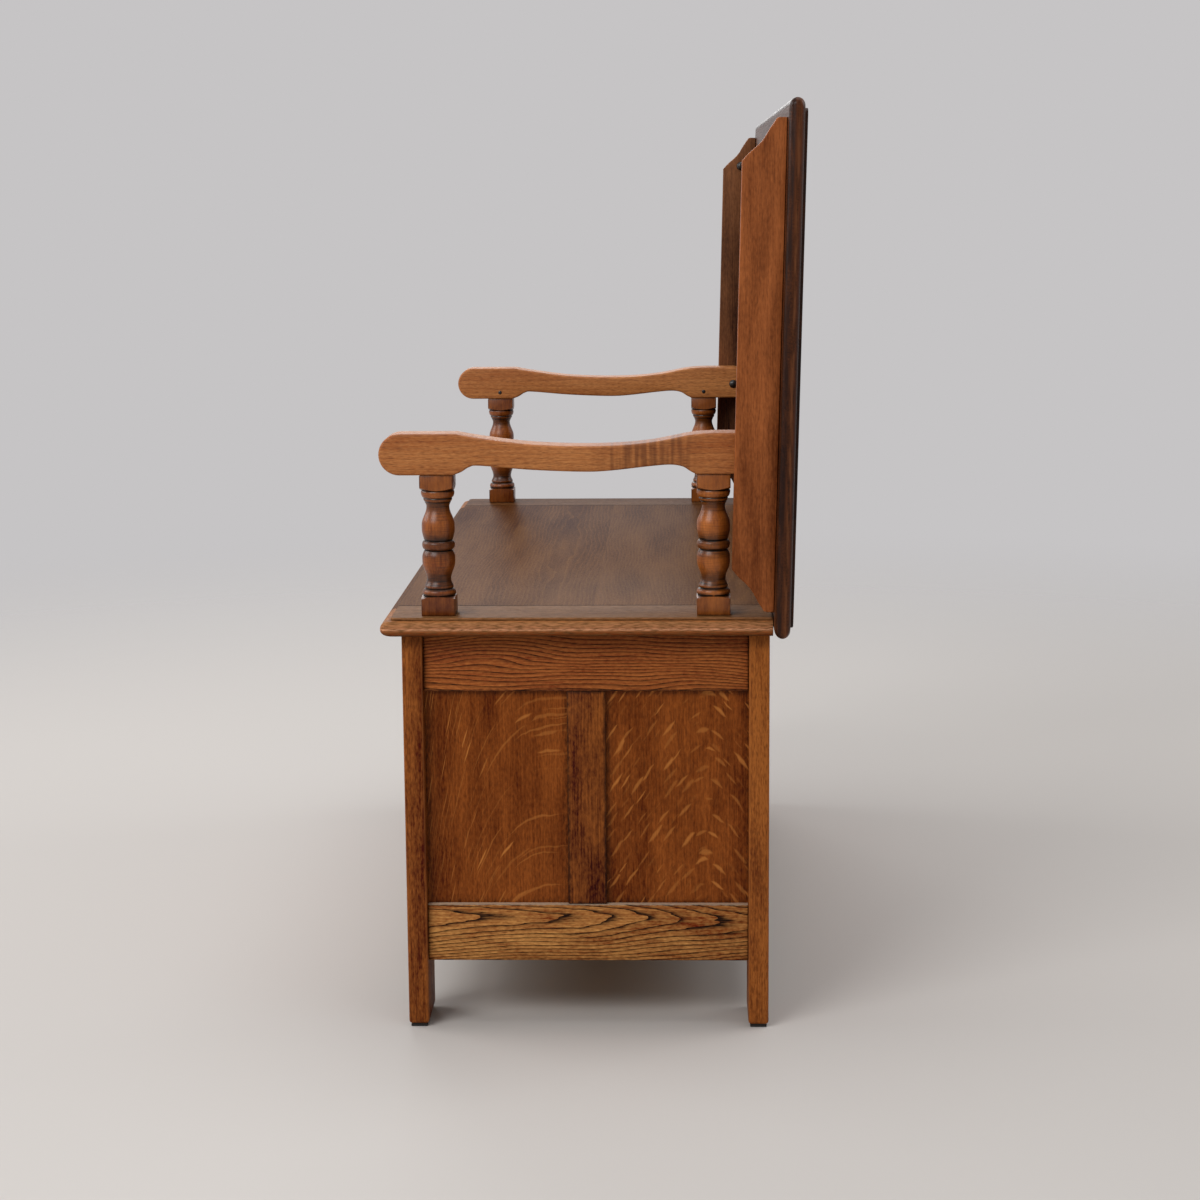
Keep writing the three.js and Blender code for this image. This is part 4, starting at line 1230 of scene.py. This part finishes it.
for end, side in SIDES:
    arm_low, arm_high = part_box(f"arm_{end}")
    inner = arm_high.x if side < 0 else arm_low.x
    low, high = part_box(f"pivot_peg_{end}")
    tip = low.x if side < 0 else high.x
    pin = peg(f"black_pivot_peg_{end}", (inner, pivot.y, pivot.z), (tip, pivot.y, pivot.z))
    fit(pin, black_wood, "ebonised_wood", f"pivot_peg_{end}", body=f"pivot_peg_{end}")
    for row in ROWS:
        low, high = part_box(f"dowel_{row}_{end}")
        centre = (low + high) / 2
        start = Vector((inner - side * DOWEL_CROWN, centre.y, centre.z))
        outline = []
        for radius, along in (
            (0, 0), (0.5, 0.1), (0.8, 0.4), (0.97, 1), (1, 2), (1, 6), (0, 6),
        ):
            outline.append(start + Vector((side * along * DOWEL_CROWN, 0, radius * DOWEL_RADIUS)))
        dowel = turned(f"black_dowel_{row}_{end}", outline, start, PEG_SIDES, axis=(1, 0, 0))
        fit(dowel, black_wood, "ebonised_wood", f"dowel_{row}_{end}")


# Table top. Four glued oak boards with the seat's moulding all round, stained almost black on the
# edge, where a painted highlight runs along the middle of the nose between bands of painted shade.
# It stands on the seat's back edge as the back rest and leans back by a degree or so.
TABLE_LEAN = math.radians(1.35)
TABLE_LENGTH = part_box("table_top")[1].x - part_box("table_top")[0].x
TABLE_THICKNESS = 19.8 * MM
TABLE_DEPTH = 560 * MM
TABLE_FACE = 25 * MM
table_axes = (
    Matrix.Translation((0, pivot.y, pivot.z)) @ Matrix.Rotation(-TABLE_LEAN, 4, "X")
)


def lean(piece):
    """Turns a piece made in the table's own axes to where the table stands."""
    select(piece)
    piece.matrix_world = table_axes @ piece.matrix_world
    bpy.ops.object.transform_apply()


low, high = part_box("table_top")
top_middle = Vector((0, (low.y + high.y) / 2, (low.z + high.z) / 2))
top_middle = table_axes.inverted() @ top_middle
table_oak = oak(
    "dark polished table oak", "XZY", "#120702", "#34180a", "#512a13", ring=3.5, lines=0.4,
    pores=0.5, rough=0.29, shine=0.14, plank=142,
)
# The table's edge: dark stain with a painted highlight along the middle of the nose, painted shade on
# its side towards the bearers and at the step, and a grey painted reflection on the step's fillet.
paint_moulding_wear_and_light(table_oak, (30, 3, 30), (
    (0.0, "#1a0b05", 0.0), (0.02, "#1a0b05", 0.85), (0.2, "#241008", 0.85), (0.25, "#5a3018", 0.8),
    (0.3, "#7a4a2c", 0.8), (0.35, "#5e2e14", 0.8), (0.41, "#331609", 0.8), (0.5, "#1a0b05", 0.9),
    (0.7, "#1a0b05", 0.9), (0.78, "#30201a", 0.8), (0.95, "#120805", 0.9), (1.0, "#120805", 0.0),
))
top = moulded_board(
    "oak_table_top", (-TABLE_LENGTH / 2, -TABLE_DEPTH / 2, 0),
    (TABLE_LENGTH / 2, TABLE_DEPTH / 2, TABLE_THICKNESS),
)
top.matrix_world = (
    Matrix.Translation((0, TABLE_FACE, top_middle.z)) @ Matrix.Rotation(-math.pi / 2, 4, "X")
)
bpy.ops.object.transform_apply()
lean(top)
fit(top, table_oak, "table_oak", "table_top", body="table")


# Bearers. Two battens screwed under the table top, outside the arms, with an ogee at each end.
# The pegs' blind holes are bored in their inner faces; their stain is mottled and a little redder.
# Each is painted lighter towards its top and darker towards its foot, as the light falls, and the
# left one is darker brown, partly from its stain and partly from painted shade.
BEARER_THICKNESS = 16 * MM
BEARER_WIDTH = 46 * MM
BEARER_ABOVE = 351.4 * MM
BEARER_BELOW = 164.5 * MM
OGEE_LENGTH = 45 * MM
OGEE_DEPTH = 38 * MM
BEARER_EASE = 1.3 * MM
UPPER_PEG = (4 * MM, BEARER_ABOVE - 40.5 * MM)
PEG_DEPTH = 12 * MM
OGEE_SHARES = (
    (0.0, 0.0), (0.18, 0.19), (0.38, 0.45), (0.54, 0.6), (0.72, 0.72), (0.9, 0.86), (0.98, 0.93),
    (1.0, 1.0),
)
# The left bearer's colours are darker brown: partly its own stain and partly painted shade on the face
# turned from the light.
bearer_oak = {
    end: oak(
        f"mottled brown oak, {end} bearer", "ZYX", "#38190a", middle, light, ring=5, lines=0.12,
        pores=0.3, streaks=0.6, patches=1.8, clouds=0.9, rough=0.42, rim="#3a1a0a", rim_reach=1.3,
        rim_share=0.7, pith=(150, 60),
    ) for end, middle, light in (("left", "#55331f", "#815233"), ("right", "#713918", "#a05a2e"))
}
for end, side in SIDES:
    low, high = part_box(f"bearer_{end}")
    free = TABLE_FACE - BEARER_WIDTH
    upper = BEARER_ABOVE
    outline = [(TABLE_FACE - GAP, upper), (TABLE_FACE - GAP, -BEARER_BELOW)]
    outline += curve_through([
        (free + deep * OGEE_DEPTH, (1 - along) * OGEE_LENGTH - BEARER_BELOW)
        for along, deep in reversed(OGEE_SHARES)
    ], 5)
    outline += curve_through([
        (free + deep * OGEE_DEPTH, upper - (1 - along) * OGEE_LENGTH) for along, deep in OGEE_SHARES
    ], 5)
    bearer = sawn_board(f"oak_bearer_{end}", outline, low.x, high.x, BEARER_EASE)
    inner = low.x if side > 0 else high.x
    for y, z in ((0, 0), UPPER_PEG):
        hole = rod(
            "hole", (inner - side * MM, y, z), (inner + side * (PEG_DEPTH + GAP), y, z),
            PEG_RADIUS + GAP,
        )
        cut_with(bearer, hole)
    lean(bearer)
    # Painted light: each bearer is lighter towards its top and darker towards its foot.
    fit(
        bearer, bearer_oak[end], "bearer_oak", f"bearer_{end}", body="table",
        tone={"left": (-0.35, 0.15), "right": (-0.4, 0.55)}[end],
    )
    pin = peg(
        f"black_upper_peg_{end}", (inner, *UPPER_PEG), (inner + side * PEG_DEPTH, *UPPER_PEG),
    )
    lean(pin)
    fit(pin, black_wood, "ebonised_wood", f"upper_peg_{end}", body=f"upper_peg_{end}")
